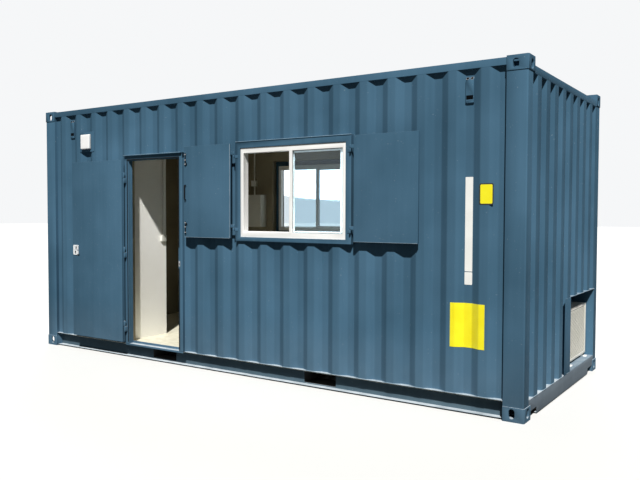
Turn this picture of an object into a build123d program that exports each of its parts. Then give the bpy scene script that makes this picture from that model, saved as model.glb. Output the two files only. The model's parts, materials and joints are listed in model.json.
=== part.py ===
"""Shipping container cabin: a twenty-foot high-cube container made into a site cabin.

Frame: origin on the ground under the middle of the container, +X towards the end with the
condenser recess, the door and window side faces -Y, +Z up.  Millimetres.  The door leaf and the
two window shutters are drawn as they stand at rest, folded fully open against the wall.
"""
import os
from math import atan2, ceil, radians, tan
from build123d import *

# Outer size and the corner fittings that set it
length = 6058.0
width = 2438.0
height = 2896.0
fitting_length = 178.0
fitting_width = 162.0
fitting_height = 118.0
fitting_wall = 16.0
fitting_plate = 26.0
fitting_cover = 12.0
fitting_edge_bevel = 9.0
top_hole_length = 124.5
top_hole_width = 63.5
side_hole_length = 79.5
side_hole_width = 51.0
end_hole_width = 63.5
hole_from_end = 102.5
hole_from_side = 89.5
hole_mid_height = 66.0
face_inset = 5.0

# Corner posts and rails
post_depth = 122.0
post_wall = 6.0
post_radius = 14.0
top_rail_size = 60.0
top_rail_wall = 3.0
top_rail_drop = 10.0
end_rail_drop = 68.0
header_upstand_wall = 4.0
bottom_rail_low = 11.0
bottom_rail_top = 162.0
bottom_rail_wall = 4.5
bottom_flange = 30.0
top_flange = 48.0
end_rail_flange = 60.0
end_rail_notch_length = 190.0
end_rail_notch_height = 53.0

# Corrugated sheets
sheet = 2.0
side_pitch = 282.0
side_inner_flat = 70.0
side_slope = 68.0
side_depth = 36.0
end_pitch = 250.0
end_inner_flat = 104.0
end_slope = 18.0
end_depth = 45.6
end_shift = -36.0
roof_sheet_drop = 28.0
swage_pitch = 209.0
swage_width = 105.0
swage_height = 20.0
swage_margin = 55.0
swage_taper = 45.0

# Floor, lining and ceiling
floor_thickness = 28.0
floor_rise = 6.0
member_height = 122.0
member_flange = 45.0
member_wall = 4.0
member_spacing = 300.0
pocket_middle = 1040.0
pocket_width = 360.0
pocket_low = 25.0
pocket_high = 130.0
pocket_plate = 4.0
pocket_strap_length = 250.0
ceiling_gap = 8.0
ceiling_thickness = 60.0

# Doorway and door
door_left = -1500.0
door_width = 785.0
door_head_z = 2240.0
frame_face = 60.0
frame_proud = 25.0
threshold_drop = 20.0
threshold_nose = 22.0
threshold_stop = 26.0
threshold_stop_thickness = 4.0
hood_reach = 50.0
hood_thickness = 8.0
frame_sheet = 3.0
leaf_latch_lap = 70.0
leaf_bottom_gap = 19.0
leaf_top_lap = 10.0
leaf_thickness = 40.0
leaf_gap = 10.0
leaf_edge_bevel = 2.5
door_axis_gap = 20.0
door_axis_from_opening = 35.0
door_hinge_count = 3
door_hinge_from_bottom = 118.0
door_hinge_from_top = 143.0
door_hinge_height = 120.0
door_barrel_radius = 9.0
door_lug_thickness = 9.0
door_pin_radius = 5.0
pin_clearance = 0.1
bore_wall = 1.0
knuckle_gap = 3.0
lock_backset = 95.0
lock_height = 1210.0
lock_plate_width = 34.0
lock_plate_height = 92.0
lock_plate_thickness = 5.0
lock_plate_radius = 6.0
lever_reach = 45.0
lever_length = 62.0
lever_radius = 6.0

# Window and shutters
window_width = 1240.0
window_bottom = 1415.0
window_top = 2302.0
surround_side = 60.0
surround_bottom = 40.0
surround_top = 64.0
drip_lip = 5.0
drip_lip_thickness = 6.0
window_recess = 10.0
window_frame_depth = 76.0
window_frame_face = 38.0
window_frame_rail = 52.0
mullion_width = 36.0
glass_thickness = 5.0
fixed_glass_setback = 14.0
sash_stile = 40.0
sash_rail = 18.0
sash_thickness = 16.0
sash_setback = 30.0
sash_clearance = 1.0
back_window_middle = -560.0
shutter_door_gap = 57.5
shutter_bottom_margin = 25.0
shutter_top_margin = 16.0
shutter_thickness = 25.0
shutter_gap = 10.0
shutter_meeting_gap = 10.0
shutter_axis_outset = 2.5
shutter_axis_gap = 42.5
shutter_hinge_count = 2
shutter_hinge_from_bottom = 75.0
shutter_hinge_from_top = 81.0
shutter_hinge_height = 64.0
shutter_barrel_radius = 8.0
shutter_pin_radius = 4.0
shutter_strap = 6.0
shutter_plate = 4.0
shutter_plate_reach = 40.0
bolt_inset = 30.0
bolt_plate_width = 26.0
bolt_plate_thickness = 3.0
bolt_rod_radius = 4.5
bolt_length = 132.0
bolt_margin = 18.0
pull_length = 150.0
pull_above_middle = 11.5

# Condenser recess in the right-hand end wall
recess_near = 150.0
recess_top = 872.0
recess_sheet = 3.0
recess_flange = 195.0
boxing_thickness = 30.0
condenser_set_back = 74.0
condenser_back_gap = 20.0
condenser_depth = 290.0
condenser_width = 770.0
condenser_height = 530.0
condenser_foot = 27.0
condenser_foot_width = 60.0
condenser_radius = 12.0
condenser_side_gap = 20.0
grille_border = 26.0
grille_recess = 10.0
grille_pitch = 14.0
grille_fin = 3.0
grille_fin_depth = 6.0
grille_stile = 8.0

# Fittings on and in the cabin
light_from_leaf_edge = 105.0
light_rise_share = 0.385
light_width = 162.0
light_height = 176.0
light_depth = 32.0
light_plate_left = 45.0
light_plate_right = 48.0
light_plate_edge = 30.0
light_plate_thickness = 5.0
light_radius = 10.0
light_bevel = 5.0
vent_post_gap = 20.0
vent_below_rail = 58.0
vent_width = 70.0
vent_height = 221.0
vent_top_slope = 30.0
vent_base_slope = 10.0
vent_mouth_rise = 36.0
vent_mouth_height = 33.0
vent_mouth_depth = 24.0
vent_mouth_border = 5.0
partition_door_gap = 150.0
partition_thickness = 60.0
partition_length = 576.0
conduit_radius = 10.0
switch_size = 72.0
switch_depth = 28.0
switch_bottom = 1310.0
switch_from_end = 56.0
board_left = -1650.0
board_width = 300.0
board_bottom = 1465.0
board_height = 443.0
board_depth = 130.0
board_radius = 8.0
board_conduit_offset = 100.0
junction_size = 80.0
junction_bottom = 2030.0
rod_sides = 12
cut_overshoot = 1.0

# Worked-out planes and edges
half_length = length / 2
half_width = width / 2
end_plane = half_length - face_inset
side_plane = half_width - face_inset
fitting_x = half_length - fitting_length
fitting_y = half_width - fitting_width
post_y = side_plane - post_depth
top_rail_top = height - top_rail_drop
top_rail_low = top_rail_top - top_rail_size
end_rail_top = height - end_rail_drop
end_rail_low = end_rail_top - top_rail_size
roof_z = height - roof_sheet_drop
floor_z = bottom_rail_top + floor_rise
member_top = floor_z - floor_thickness
ceiling_top = end_rail_low - ceiling_gap
ceiling_z = ceiling_top - ceiling_thickness
web_y = side_plane - top_flange
web_inner_y = web_y - bottom_rail_wall
wall_inner_y = side_plane - side_depth - sheet
wall_inner_x = end_plane - end_depth - sheet
room_y = post_y
room_x = fitting_x
door_right = door_left + door_width
frame_left = door_left - frame_face
frame_right = door_right + frame_face
frame_top = door_head_z + frame_face
proud_plane = side_plane + frame_proud
leaf_bottom = floor_z + leaf_bottom_gap
leaf_top = door_head_z + leaf_top_lap
leaf_width = door_width + door_axis_from_opening - door_axis_gap + leaf_latch_lap
door_axis_x = door_left - door_axis_from_opening
door_axis_y = -(proud_plane + leaf_gap + leaf_thickness / 2)
leaf_hinge_edge = door_axis_x - door_axis_gap
leaf_free_edge = leaf_hinge_edge - leaf_width
surround_half = window_width / 2 + surround_side
surround_low = window_bottom - surround_bottom
surround_high = window_top + surround_top
shutter_axis_reach = surround_half + shutter_axis_outset
shutter_width = shutter_axis_reach - shutter_axis_gap - shutter_meeting_gap / 2
shutter_bottom = surround_low + shutter_bottom_margin
shutter_top = surround_high - shutter_top_margin
shutter_axis_y = -(proud_plane + shutter_gap + shutter_thickness / 2)
window_middle = frame_right + shutter_door_gap + shutter_width + shutter_axis_gap + shutter_axis_reach
surround_left = window_middle - surround_half
surround_right = window_middle + surround_half
light_left = leaf_free_edge + light_from_leaf_edge
light_bottom = leaf_top + light_rise_share * (top_rail_low - leaf_top - light_height)
vent_trough = int((fitting_x - vent_post_gap - vent_width / 2) / side_pitch)
vent_bottom = top_rail_low - vent_below_rail - vent_height
partition_face = door_left - partition_door_gap
recess_far = post_y
condenser_front = end_plane - condenser_set_back
recess_back = condenser_front - condenser_depth - condenser_back_gap


def block(low_x, high_x, low_y, high_y, low_z, high_z):
    """Box between two values on each axis."""
    middle = ((low_x + high_x) / 2, (low_y + high_y) / 2, (low_z + high_z) / 2)
    return Pos(*middle) * Box(high_x - low_x, high_y - low_y, high_z - low_z)


def both_ends(shape):
    """The shape and its copy turned half round the upright axis."""
    return [shape, Rot(0, 0, 180) * shape]


def mirror_x(shape):
    """The shape and its mirror image across the middle of the length."""
    return [shape, mirror(shape, about=Plane.YZ)]


def mirror_xy(shape):
    """The shape in all four corners."""
    pair = mirror_x(shape)
    return pair + [mirror(each, about=Plane.XZ) for each in pair]


def save(name, shapes):
    """Write one sub-part; shapes that share a node don't touch one another."""
    solids = []
    for shape in shapes:
        solids.extend(shape.solids())
    export_step(Compound(children=solids), f"parts/{name}.step")


def tube_along_x(low_x, high_x, low_y, high_y, low_z, high_z, wall):
    """Rectangular hollow section along X, open at its ends."""
    inside = block(low_x, high_x, low_y + wall, high_y - wall, low_z + wall, high_z - wall)
    return block(low_x, high_x, low_y, high_y, low_z, high_z) - inside


def tube_along_y(low_x, high_x, low_y, high_y, low_z, high_z, wall):
    """Rectangular hollow section along Y, open at its ends."""
    inside = block(low_x + wall, high_x - wall, low_y, high_y, low_z + wall, high_z - wall)
    return block(low_x, high_x, low_y, high_y, low_z, high_z) - inside


def trough(centre, inner_flat, slope, depth, back):
    """Four corners of a trough; back is 0 on the outer line and the sheet on the inner one.

    The sheet keeps its thickness on the slopes, so the inner corners move along by the sheet
    times the tangent of half the slope's angle.
    """
    lean = back * tan(atan2(depth, slope) / 2)
    half = inner_flat / 2
    return [
        (centre - half - slope - lean, back),
        (centre - half - lean, back + depth),
        (centre + half + lean, back + depth),
        (centre + half + slope + lean, back),
    ]


def wave(low, high, pitch, inner_flat, slope, depth, shift):
    """Closed outline of a corrugated sheet from low to high, as distances along and inwards."""
    first = ceil((low - shift) / pitch) - 1
    last = ceil((high - shift) / pitch)
    lines = []
    for back in (0.0, sheet):
        line = []
        for number in range(first, last + 1):
            line.extend(trough(shift + number * pitch, inner_flat, slope, depth, back))
        lines.append(line)
    return lines[0] + lines[1][::-1]


def side_sheet(low_x, high_x, low_z, high_z):
    """Piece of the corrugated front wall, its outer flats on the side plane."""
    outline = wave(low_x, high_x, side_pitch, side_inner_flat, side_slope, side_depth, 0.0)
    line = Polyline(*[(along, inward - side_plane) for along, inward in outline], close=True)
    full = extrude(make_face(line), amount=high_z - low_z, dir=(0, 0, 1))
    room = block(low_x, high_x, -side_plane - cut_overshoot, -wall_inner_y + cut_overshoot,
                 0, high_z - low_z)
    return Pos(0, 0, low_z) * (full & room)


def end_sheet(low_y, high_y, low_z, high_z):
    """Piece of the corrugated right-hand end wall, its outer flats on the end plane."""
    outline = wave(low_y, high_y, end_pitch, end_inner_flat, end_slope, end_depth, end_shift)
    line = Polyline(*[(end_plane - inward, along) for along, inward in outline], close=True)
    full = extrude(make_face(line), amount=high_z - low_z, dir=(0, 0, 1))
    room = block(wall_inner_x - cut_overshoot, end_plane + cut_overshoot, low_y, high_y,
                 0, high_z - low_z)
    return Pos(0, 0, low_z) * (full & room)


def slot_cutter(slot_length, slot_width, depth):
    """Oval hole standing on the XY plane, long along X, centred on the origin."""
    return extrude(SlotOverall(slot_length, slot_width), amount=depth, both=True)


def corner_fitting():
    """Bottom corner casting at +X -Y: a hollow box with an oval hole in each outer face."""
    body = block(fitting_x, half_length, -half_width, -fitting_y, 0, fitting_height)
    outer = body.edges().filter_by(Axis.Z).sort_by(lambda edge: edge.center().X - edge.center().Y)
    body = chamfer(outer[-1], fitting_edge_bevel)
    cavity = block(fitting_x + fitting_wall, half_length - fitting_wall,
                   -half_width + fitting_wall, -fitting_y - fitting_wall,
                   fitting_plate, fitting_height - fitting_cover)
    flat = slot_cutter(top_hole_length, top_hole_width, fitting_plate)
    side = Rot(90, 0, 0) * Rot(0, 0, 90) * slot_cutter(side_hole_length, side_hole_width, fitting_wall)
    end = Rot(0, 90, 0) * slot_cutter(side_hole_length, end_hole_width, fitting_wall)
    body -= cavity
    body -= Pos(half_length - hole_from_end, -half_width + hole_from_side, 0) * flat
    body -= Pos(half_length - hole_from_end, -half_width, hole_mid_height) * side
    body -= Pos(half_length, -half_width + hole_from_side, hole_mid_height) * end
    return body


def corner_fittings():
    """Four castings below and four above, the upper ones turned over."""
    low = mirror_xy(corner_fitting())
    return low + [Pos(0, 0, height) * mirror(each, about=Plane.XY) for each in low]


def corner_posts():
    """Hollow posts between the fittings with a pressed round on the outer corner."""
    low, high = fitting_height, height - fitting_height
    body = block(fitting_x, end_plane, -side_plane, -post_y, low, high)
    outer = body.edges().filter_by(Axis.Z).sort_by(lambda edge: edge.center().X - edge.center().Y)
    body = fillet(outer[-1], post_radius)
    body -= block(fitting_x + post_wall, end_plane - post_wall, -side_plane + post_wall,
                  -post_y - post_wall, low, high)
    return mirror_xy(body)


def top_side_rails():
    """Square tube along each long side, between the upper fittings."""
    rail = tube_along_x(-fitting_x, fitting_x, -side_plane, -side_plane + top_rail_size,
                        top_rail_low, top_rail_top, top_rail_wall)
    return both_ends(rail)


def top_end_rails():
    """Square tube across each end, with the set-back upstand that carries the roof sheet."""
    tube = tube_along_y(end_plane - top_rail_size, end_plane, -fitting_y, fitting_y,
                        end_rail_low, end_rail_top, top_rail_wall)
    inner = end_plane - top_rail_size
    upstand = block(inner, inner + header_upstand_wall, -fitting_y, fitting_y,
                    end_rail_top, roof_z - sheet)
    return both_ends(tube + upstand)


def bottom_side_rails():
    """Channel along each long side, open outwards, pierced by the fork pockets."""
    outline = [
        (-side_plane, bottom_rail_top),
        (-web_inner_y, bottom_rail_top),
        (-web_inner_y, bottom_rail_low),
        (-web_y - bottom_flange, bottom_rail_low),
        (-web_y - bottom_flange, bottom_rail_low + bottom_rail_wall),
        (-web_y, bottom_rail_low + bottom_rail_wall),
        (-web_y, bottom_rail_top - bottom_rail_wall),
        (-side_plane, bottom_rail_top - bottom_rail_wall),
    ]
    face = make_face(Plane.YZ * Polyline(*outline, close=True))
    rail = Pos(-fitting_x, 0, 0) * extrude(face, amount=2 * fitting_x, dir=(1, 0, 0))
    for middle in (-pocket_middle, pocket_middle):
        rail -= block(middle - pocket_width / 2, middle + pocket_width / 2,
                      -web_y - cut_overshoot, -web_inner_y + cut_overshoot, pocket_low, pocket_high)
    return both_ends(rail)


def bottom_end_rails():
    """Face plate with a notch at each lower corner, and the flange that carries the end wall."""
    notch_y = fitting_y - end_rail_notch_length
    notch_z = bottom_rail_low + end_rail_notch_height
    half = [
        (0, bottom_rail_low),
        (notch_y, bottom_rail_low),
        (notch_y, notch_z),
        (fitting_y, notch_z),
        (fitting_y, fitting_height),
        (post_y, fitting_height),
        (post_y, bottom_rail_top),
        (0, bottom_rail_top),
    ]
    outline = half + [(-along, up) for along, up in half[::-1] if along > 0]
    face = make_face(Plane.YZ * Polyline(*outline, close=True))
    plate = Pos(end_plane - bottom_rail_wall, 0, 0) * extrude(face, amount=bottom_rail_wall, dir=(1, 0, 0))
    flange = block(end_plane - end_rail_flange, end_plane, -fitting_y, fitting_y,
                   bottom_rail_top - bottom_rail_wall, bottom_rail_top)
    lip = block(end_plane - bottom_flange, end_plane, -notch_y, notch_y,
                bottom_rail_low, bottom_rail_low + bottom_rail_wall)
    return both_ends(plate + flange + lip)


def pocket_spans():
    """Outer X limits of the two fork pockets."""
    half = pocket_width / 2 + pocket_plate
    return [(-pocket_middle - half, -pocket_middle + half), (pocket_middle - half, pocket_middle + half)]


def cross_members():
    """Channel joists across the floor, left out where a fork pocket runs."""
    low = member_top - member_height
    count = int(fitting_x / member_spacing)
    members = []
    for number in range(-count, count + 1):
        start = number * member_spacing - member_flange / 2
        end = start + member_flange
        if any(start < high and end > down for down, high in pocket_spans()):
            continue
        body = block(start, end, -web_inner_y, web_inner_y, low, member_top)
        body -= block(start + member_wall, end, -web_inner_y, web_inner_y,
                      low + member_wall, member_top - member_wall)
        members.append(body)
    return members


def fork_pockets():
    """Two sleeves across the base: sides and top plate, and a strap under each mouth."""
    pockets = []
    for low_x, high_x in pocket_spans():
        body = block(low_x, high_x, -web_inner_y, web_inner_y,
                     pocket_low - pocket_plate, pocket_high + pocket_plate)
        body -= block(low_x + pocket_plate, high_x - pocket_plate, -web_inner_y, web_inner_y,
                      pocket_low, pocket_high)
        between = web_inner_y - pocket_strap_length
        body -= block(low_x + pocket_plate, high_x - pocket_plate, -between, between,
                      pocket_low - pocket_plate, pocket_low)
        pockets.append(body)
    return pockets


def floor_boards():
    """Plywood floor on the joists and between the rails, cut round the posts and the recess."""
    half_x = end_plane - end_rail_flange
    board = block(-half_x, half_x, -web_inner_y, web_inner_y, member_top, floor_z)
    for post in mirror_xy(block(fitting_x, half_length, -half_width, -post_y, 0, height)):
        board -= post
    board -= block(recess_back, half_length, recess_near, half_width, 0, height)
    return [board]


def roof_sheet():
    """Roof sheet with a row of pressed swages across it, cut round the upper fittings."""
    half_x = end_plane - top_rail_size + header_upstand_wall
    half_y = side_plane - top_rail_size
    plate = block(-half_x, half_x, -half_y, half_y, roof_z - sheet, roof_z)
    swage_length = 2 * (half_y - swage_margin)
    lean = sheet * tan(radians(swage_taper) / 2)
    outer = extrude(Rectangle(swage_width, swage_length), amount=swage_height, taper=swage_taper)
    inner = extrude(Rectangle(swage_width - 2 * lean, swage_length - 2 * lean),
                    amount=swage_height, taper=swage_taper)
    count = int((fitting_x - swage_width) / swage_pitch)
    places = [number * swage_pitch for number in range(-count, count + 1)]
    plate = plate + [Pos(place, 0, roof_z) * outer for place in places]
    plate = plate - [Pos(place, 0, roof_z - sheet) * inner for place in places]
    for corner in mirror_xy(block(fitting_x, half_length, -half_width, -fitting_y, 0, height)):
        plate -= corner
    return [plate]


def ceiling_panel():
    """Insulated ceiling panel resting on the wall linings."""
    half_y = side_plane - top_rail_size
    panel = block(-wall_inner_x, wall_inner_x, -half_y, half_y, ceiling_z, ceiling_top)
    for post in mirror_xy(block(fitting_x, half_length, -half_width, -post_y, 0, height)):
        panel -= post
    return [panel]


def back(shapes):
    """Turn pieces drawn on the front wall half round to the back wall."""
    return [Rot(0, 0, 180) * shape for shape in shapes]


def window_strips(middle, half):
    """Sheet below and above a window, drawn on the front wall."""
    low, high = middle - half, middle + half
    below = side_sheet(low, high, bottom_rail_top, surround_low)
    above = side_sheet(low, high, surround_high, top_rail_low)
    return [below, above]


def side_lining(low_x, high_x, low_z, high_z):
    """Insulated lining panel behind the front wall."""
    return block(low_x, high_x, -wall_inner_y, -room_y, low_z, high_z)


def window_lining_strips(middle):
    """Lining below and above a window, drawn on the front wall."""
    low, high = middle - surround_half, middle + surround_half
    below = side_lining(low, high, floor_z, surround_low)
    above = side_lining(low, high, surround_high, ceiling_z)
    return [below, above]


def door_jambs():
    """Hollow steel uprights on both sides of the doorway, proud of the wall."""
    low = floor_z
    jambs = []
    for start in (frame_left, door_right):
        outer = block(start, start + frame_face, -proud_plane, -wall_inner_y, low, door_head_z)
        inner = block(start + frame_sheet, start + frame_face - frame_sheet, -proud_plane + frame_sheet,
                      -wall_inner_y - frame_sheet, low, door_head_z)
        jambs.append(outer - inner)
    return jambs


def door_head():
    """Hollow head member with a plate along its top front edge for a rain hood."""
    head = tube_along_x(frame_left, frame_right, -proud_plane, -wall_inner_y,
                        door_head_z, frame_top, frame_sheet)
    hood = block(frame_left, frame_right, -side_plane - hood_reach, -proud_plane,
                 frame_top - hood_thickness, frame_top)
    return [head + hood]


def door_threshold():
    """Folded steel sill across the doorway, with the upright strip the closed leaf stops at."""
    low = floor_z - threshold_drop
    sill = block(frame_left, frame_right, -side_plane - threshold_nose, -side_plane, low, floor_z)
    sill -= block(frame_left, frame_right, -side_plane - threshold_nose + frame_sheet, -side_plane,
                  low, floor_z - frame_sheet)
    over = block(frame_left, frame_right, -side_plane, -wall_inner_y, bottom_rail_top, floor_z)
    stop = block(door_left, door_right, -wall_inner_y - threshold_stop_thickness, -wall_inner_y,
                 floor_z, floor_z + threshold_stop)
    return [sill + over + stop]


def upright_rod(x, y, low, high, radius, across_flats=False):
    """Upright rod drawn with a few flat sides; across_flats makes a bore that clears such a rod."""
    outline = RegularPolygon(radius, rod_sides, major_radius=not across_flats)
    return Pos(x, y, low) * extrude(outline, amount=high - low)


def hinge_bottoms(low, high, total, count):
    """Heights at which a row of hinges starts, evenly spaced from the low end to the high end."""
    step = (high - total - low) / (count - 1)
    return [low + number * step for number in range(count)]


def door_hinge_bottoms():
    """Heights of the door's hinges, from the leaf's two ends."""
    return hinge_bottoms(leaf_bottom + door_hinge_from_bottom, leaf_top - door_hinge_from_top,
                         door_hinge_height, door_hinge_count)


def shutter_hinge_bottoms():
    """Heights of a shutter's hinges, from the shutter's two ends."""
    return hinge_bottoms(shutter_bottom + shutter_hinge_from_bottom,
                         shutter_top - shutter_hinge_from_top,
                         shutter_hinge_height, shutter_hinge_count)


def hinge_pins(axis_x, axis_y, bottoms, total, barrel, pin):
    """Lower knuckles with the pins that stand in the upper ones."""
    lower = (total - knuckle_gap) / 2
    pieces = []
    for bottom in bottoms:
        knuckle = Pos(axis_x, axis_y, bottom + lower / 2) * Cylinder(barrel, lower)
        rod = upright_rod(axis_x, axis_y, bottom + lower / 2, bottom + total - knuckle_gap, pin)
        pieces.append(knuckle + rod)
    return pieces


def hinge_caps(axis_x, axis_y, bottoms, total, barrel, pin):
    """Upper knuckles, bored for the pins with a running clearance and closed on top."""
    lower = (total - knuckle_gap) / 2
    pieces = []
    for bottom in bottoms:
        start = bottom + lower + knuckle_gap
        knuckle = Pos(axis_x, axis_y, start + lower / 2) * Cylinder(barrel, lower)
        bore = upright_rod(axis_x, axis_y, bottom + lower, start + lower - knuckle_gap,
                           pin + pin_clearance, across_flats=True)
        pieces.append(knuckle - bore)
    return pieces


def door_hinge_pins():
    """Frame halves of the three door hinges, each on a block welded to the jamb."""
    lower = (door_hinge_height - knuckle_gap) / 2
    half = door_barrel_radius
    bottoms = door_hinge_bottoms()
    pieces = hinge_pins(door_axis_x, door_axis_y, bottoms, door_hinge_height,
                        door_barrel_radius, door_pin_radius)
    joined = []
    for piece, bottom in zip(pieces, bottoms):
        lug = block(door_axis_x - half, door_axis_x + half, door_axis_y, -proud_plane,
                    bottom, bottom + lower)
        joined.append(piece + lug)
    return joined


def door_hinge_knuckles():
    """Leaf halves of the three door hinges, each on a block welded to the leaf's edge."""
    lower = (door_hinge_height - knuckle_gap) / 2
    bottoms = door_hinge_bottoms()
    pieces = hinge_caps(door_axis_x, door_axis_y, bottoms, door_hinge_height,
                        door_barrel_radius, door_pin_radius)
    joined = []
    for piece, bottom in zip(pieces, bottoms):
        start = bottom + lower + knuckle_gap
        lug = block(leaf_hinge_edge, door_axis_x - door_pin_radius - bore_wall,
                    door_axis_y - door_lug_thickness / 2, door_axis_y + door_lug_thickness / 2,
                    start, start + lower)
        joined.append(piece + lug)
    return joined


def door_leaf():
    """Flat insulated leaf, folded open against the wall to the left of the doorway."""
    half = leaf_thickness / 2
    leaf = block(leaf_free_edge, leaf_hinge_edge, door_axis_y - half, door_axis_y + half,
                 leaf_bottom, leaf_top)
    return [chamfer(leaf.edges().filter_by(Axis.Z), leaf_edge_bevel)]


def door_lock():
    """Escutcheon and lever on the inner face, and a key plate on the outer face."""
    middle_x = leaf_free_edge + lock_backset
    inner_face = door_axis_y - leaf_thickness / 2
    outer_face = door_axis_y + leaf_thickness / 2
    half_w, half_h = lock_plate_width / 2, lock_plate_height / 2
    plate = block(middle_x - half_w, middle_x + half_w, inner_face - lock_plate_thickness, inner_face,
                  lock_height - half_h, lock_height + half_h)
    plate = chamfer(plate.edges().filter_by(Axis.Y), lock_plate_radius)
    neck = Pos(middle_x, inner_face - lever_reach / 2, lock_height)
    neck = neck * Rot(90, 0, 0) * Cylinder(lever_radius, lever_reach)
    grip_start = middle_x - lever_radius
    grip = Pos(grip_start + lever_length / 2, inner_face - lever_reach, lock_height)
    grip = grip * Rot(0, 90, 0) * Cylinder(lever_radius, lever_length)
    key = block(middle_x - half_w, middle_x + half_w, outer_face, outer_face + lock_plate_thickness,
                lock_height - half_h, lock_height + half_h)
    return [plate + neck + grip, key]


def ring(low_x, high_x, low_y, high_y, low_z, high_z, left, right, bottom, top):
    """Rectangular frame in the XZ plane with its own width on each side."""
    hole = block(low_x + left, high_x - right, low_y, high_y, low_z + bottom, high_z - top)
    return block(low_x, high_x, low_y, high_y, low_z, high_z) - hole


def window_surround(middle):
    """Steel surround, proud of the wall, with a drip lip over it."""
    low, high = middle - surround_half, middle + surround_half
    body = ring(low, high, -proud_plane, -wall_inner_y, surround_low, surround_high,
                surround_side, surround_side, surround_bottom, surround_top)
    lip = block(low, high, -proud_plane - drip_lip, -proud_plane,
                surround_high - drip_lip_thickness, surround_high)
    return body + lip


def window_frame(middle):
    """Aluminium outer frame with its meeting post."""
    face = -(proud_plane - window_recess)
    inner = face + window_frame_depth
    low, high = middle - window_width / 2, middle + window_width / 2
    body = ring(low, high, face, inner, window_bottom, window_top,
                window_frame_face, window_frame_face, window_frame_rail, window_frame_rail)
    post = block(middle - mullion_width / 2, middle + mullion_width / 2, face, face + sash_setback,
                 window_bottom + window_frame_rail, window_top - window_frame_rail)
    return body + post


def fixed_pane(middle, side):
    """Glass of the fixed half; side is +1 for the half towards +X."""
    face = -(proud_plane - window_recess) + fixed_glass_setback
    edge = middle + side * (window_width / 2 - window_frame_face)
    post = middle + side * mullion_width / 2
    return block(min(edge, post), max(edge, post), face, face + glass_thickness,
                 window_bottom + window_frame_rail, window_top - window_frame_rail)


def sash(middle, side):
    """Sliding sash behind the half on that side, and its glass."""
    face = -(proud_plane - window_recess) + sash_setback
    far = middle + side * (window_width / 2 - window_frame_face - sash_clearance)
    near = middle - side * mullion_width / 2
    low_x, high_x = min(far, near), max(far, near)
    low_z = window_bottom + window_frame_rail
    high_z = window_top - window_frame_rail - sash_clearance
    body = ring(low_x, high_x, face, face + sash_thickness, low_z, high_z,
                sash_stile, sash_stile, sash_rail, sash_rail)
    mid = face + sash_thickness / 2
    pane = block(low_x + sash_stile, high_x - sash_stile, mid - glass_thickness / 2,
                 mid + glass_thickness / 2, low_z + sash_rail, high_z - sash_rail)
    return body, pane


def shutter_axis(side):
    """X of a shutter's hinge axis; side is -1 for the left one and +1 for the right one."""
    return window_middle + side * shutter_axis_reach


def shutter(side):
    """Flat steel shutter, folded open beside the window."""
    near = shutter_axis(side) + side * shutter_axis_gap
    far = near + side * shutter_width
    half = shutter_thickness / 2
    leaf = block(min(near, far), max(near, far), shutter_axis_y - half, shutter_axis_y + half,
                 shutter_bottom, shutter_top)
    return chamfer(leaf.edges().filter_by(Axis.Z), leaf_edge_bevel)


def shutter_hinge_pins(side):
    """Surround halves of a shutter's hinges, each on a plate screwed to the surround."""
    axis = shutter_axis(side)
    lower = (shutter_hinge_height - knuckle_gap) / 2
    bottoms = shutter_hinge_bottoms()
    pieces = hinge_pins(axis, shutter_axis_y, bottoms, shutter_hinge_height,
                        shutter_barrel_radius, shutter_pin_radius)
    joined = []
    for piece, bottom in zip(pieces, bottoms):
        web = block(axis - shutter_strap / 2, axis + shutter_strap / 2, shutter_axis_y,
                    -proud_plane, bottom, bottom + lower)
        reach = axis - side * shutter_plate_reach
        plate = block(min(axis, reach), max(axis, reach), -proud_plane - shutter_plate, -proud_plane,
                      bottom, bottom + lower)
        joined.append(piece + web + plate)
    return joined


def shutter_hinge_knuckles(side):
    """Leaf halves of a shutter's hinges, each on a strap to the leaf's edge."""
    axis = shutter_axis(side)
    lower = (shutter_hinge_height - knuckle_gap) / 2
    edge = axis + side * shutter_axis_gap
    start_x = axis + side * (shutter_pin_radius + bore_wall)
    bottoms = shutter_hinge_bottoms()
    pieces = hinge_caps(axis, shutter_axis_y, bottoms, shutter_hinge_height,
                        shutter_barrel_radius, shutter_pin_radius)
    joined = []
    for piece, bottom in zip(pieces, bottoms):
        start = bottom + lower + knuckle_gap
        strap = block(min(start_x, edge), max(start_x, edge), shutter_axis_y - shutter_strap / 2,
                      shutter_axis_y + shutter_strap / 2, start, start + lower)
        joined.append(piece + strap)
    return joined


def shutter_bolts():
    """Tower bolts above and below and a pull between them, on the left shutter's inner face."""
    free_edge = shutter_axis(-1) - shutter_axis_gap - shutter_width
    middle_x = free_edge + bolt_inset
    face = shutter_axis_y - shutter_thickness / 2
    half = bolt_plate_width / 2
    rod_y = face - bolt_plate_thickness - bolt_rod_radius
    pieces = []
    spans = [
        (window_bottom + bolt_margin, bolt_length),
        (window_top - bolt_margin - bolt_length, bolt_length),
        ((window_bottom + window_top - pull_length) / 2 + pull_above_middle, pull_length),
    ]
    for low, span in spans:
        plate = block(middle_x - half, middle_x + half, face - bolt_plate_thickness, face,
                      low, low + span)
        rod = Pos(middle_x, rod_y, low + span / 2) * Cylinder(bolt_rod_radius, span)
        seat = block(middle_x - bolt_rod_radius, middle_x + bolt_rod_radius, rod_y, face,
                     low, low + span)
        pieces.append(plate + rod + seat)
    return pieces


def end_wall_near():
    """Right-hand end wall from the front post to the recess, full height."""
    return [end_sheet(-post_y, recess_near, bottom_rail_top, end_rail_low)]


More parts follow.
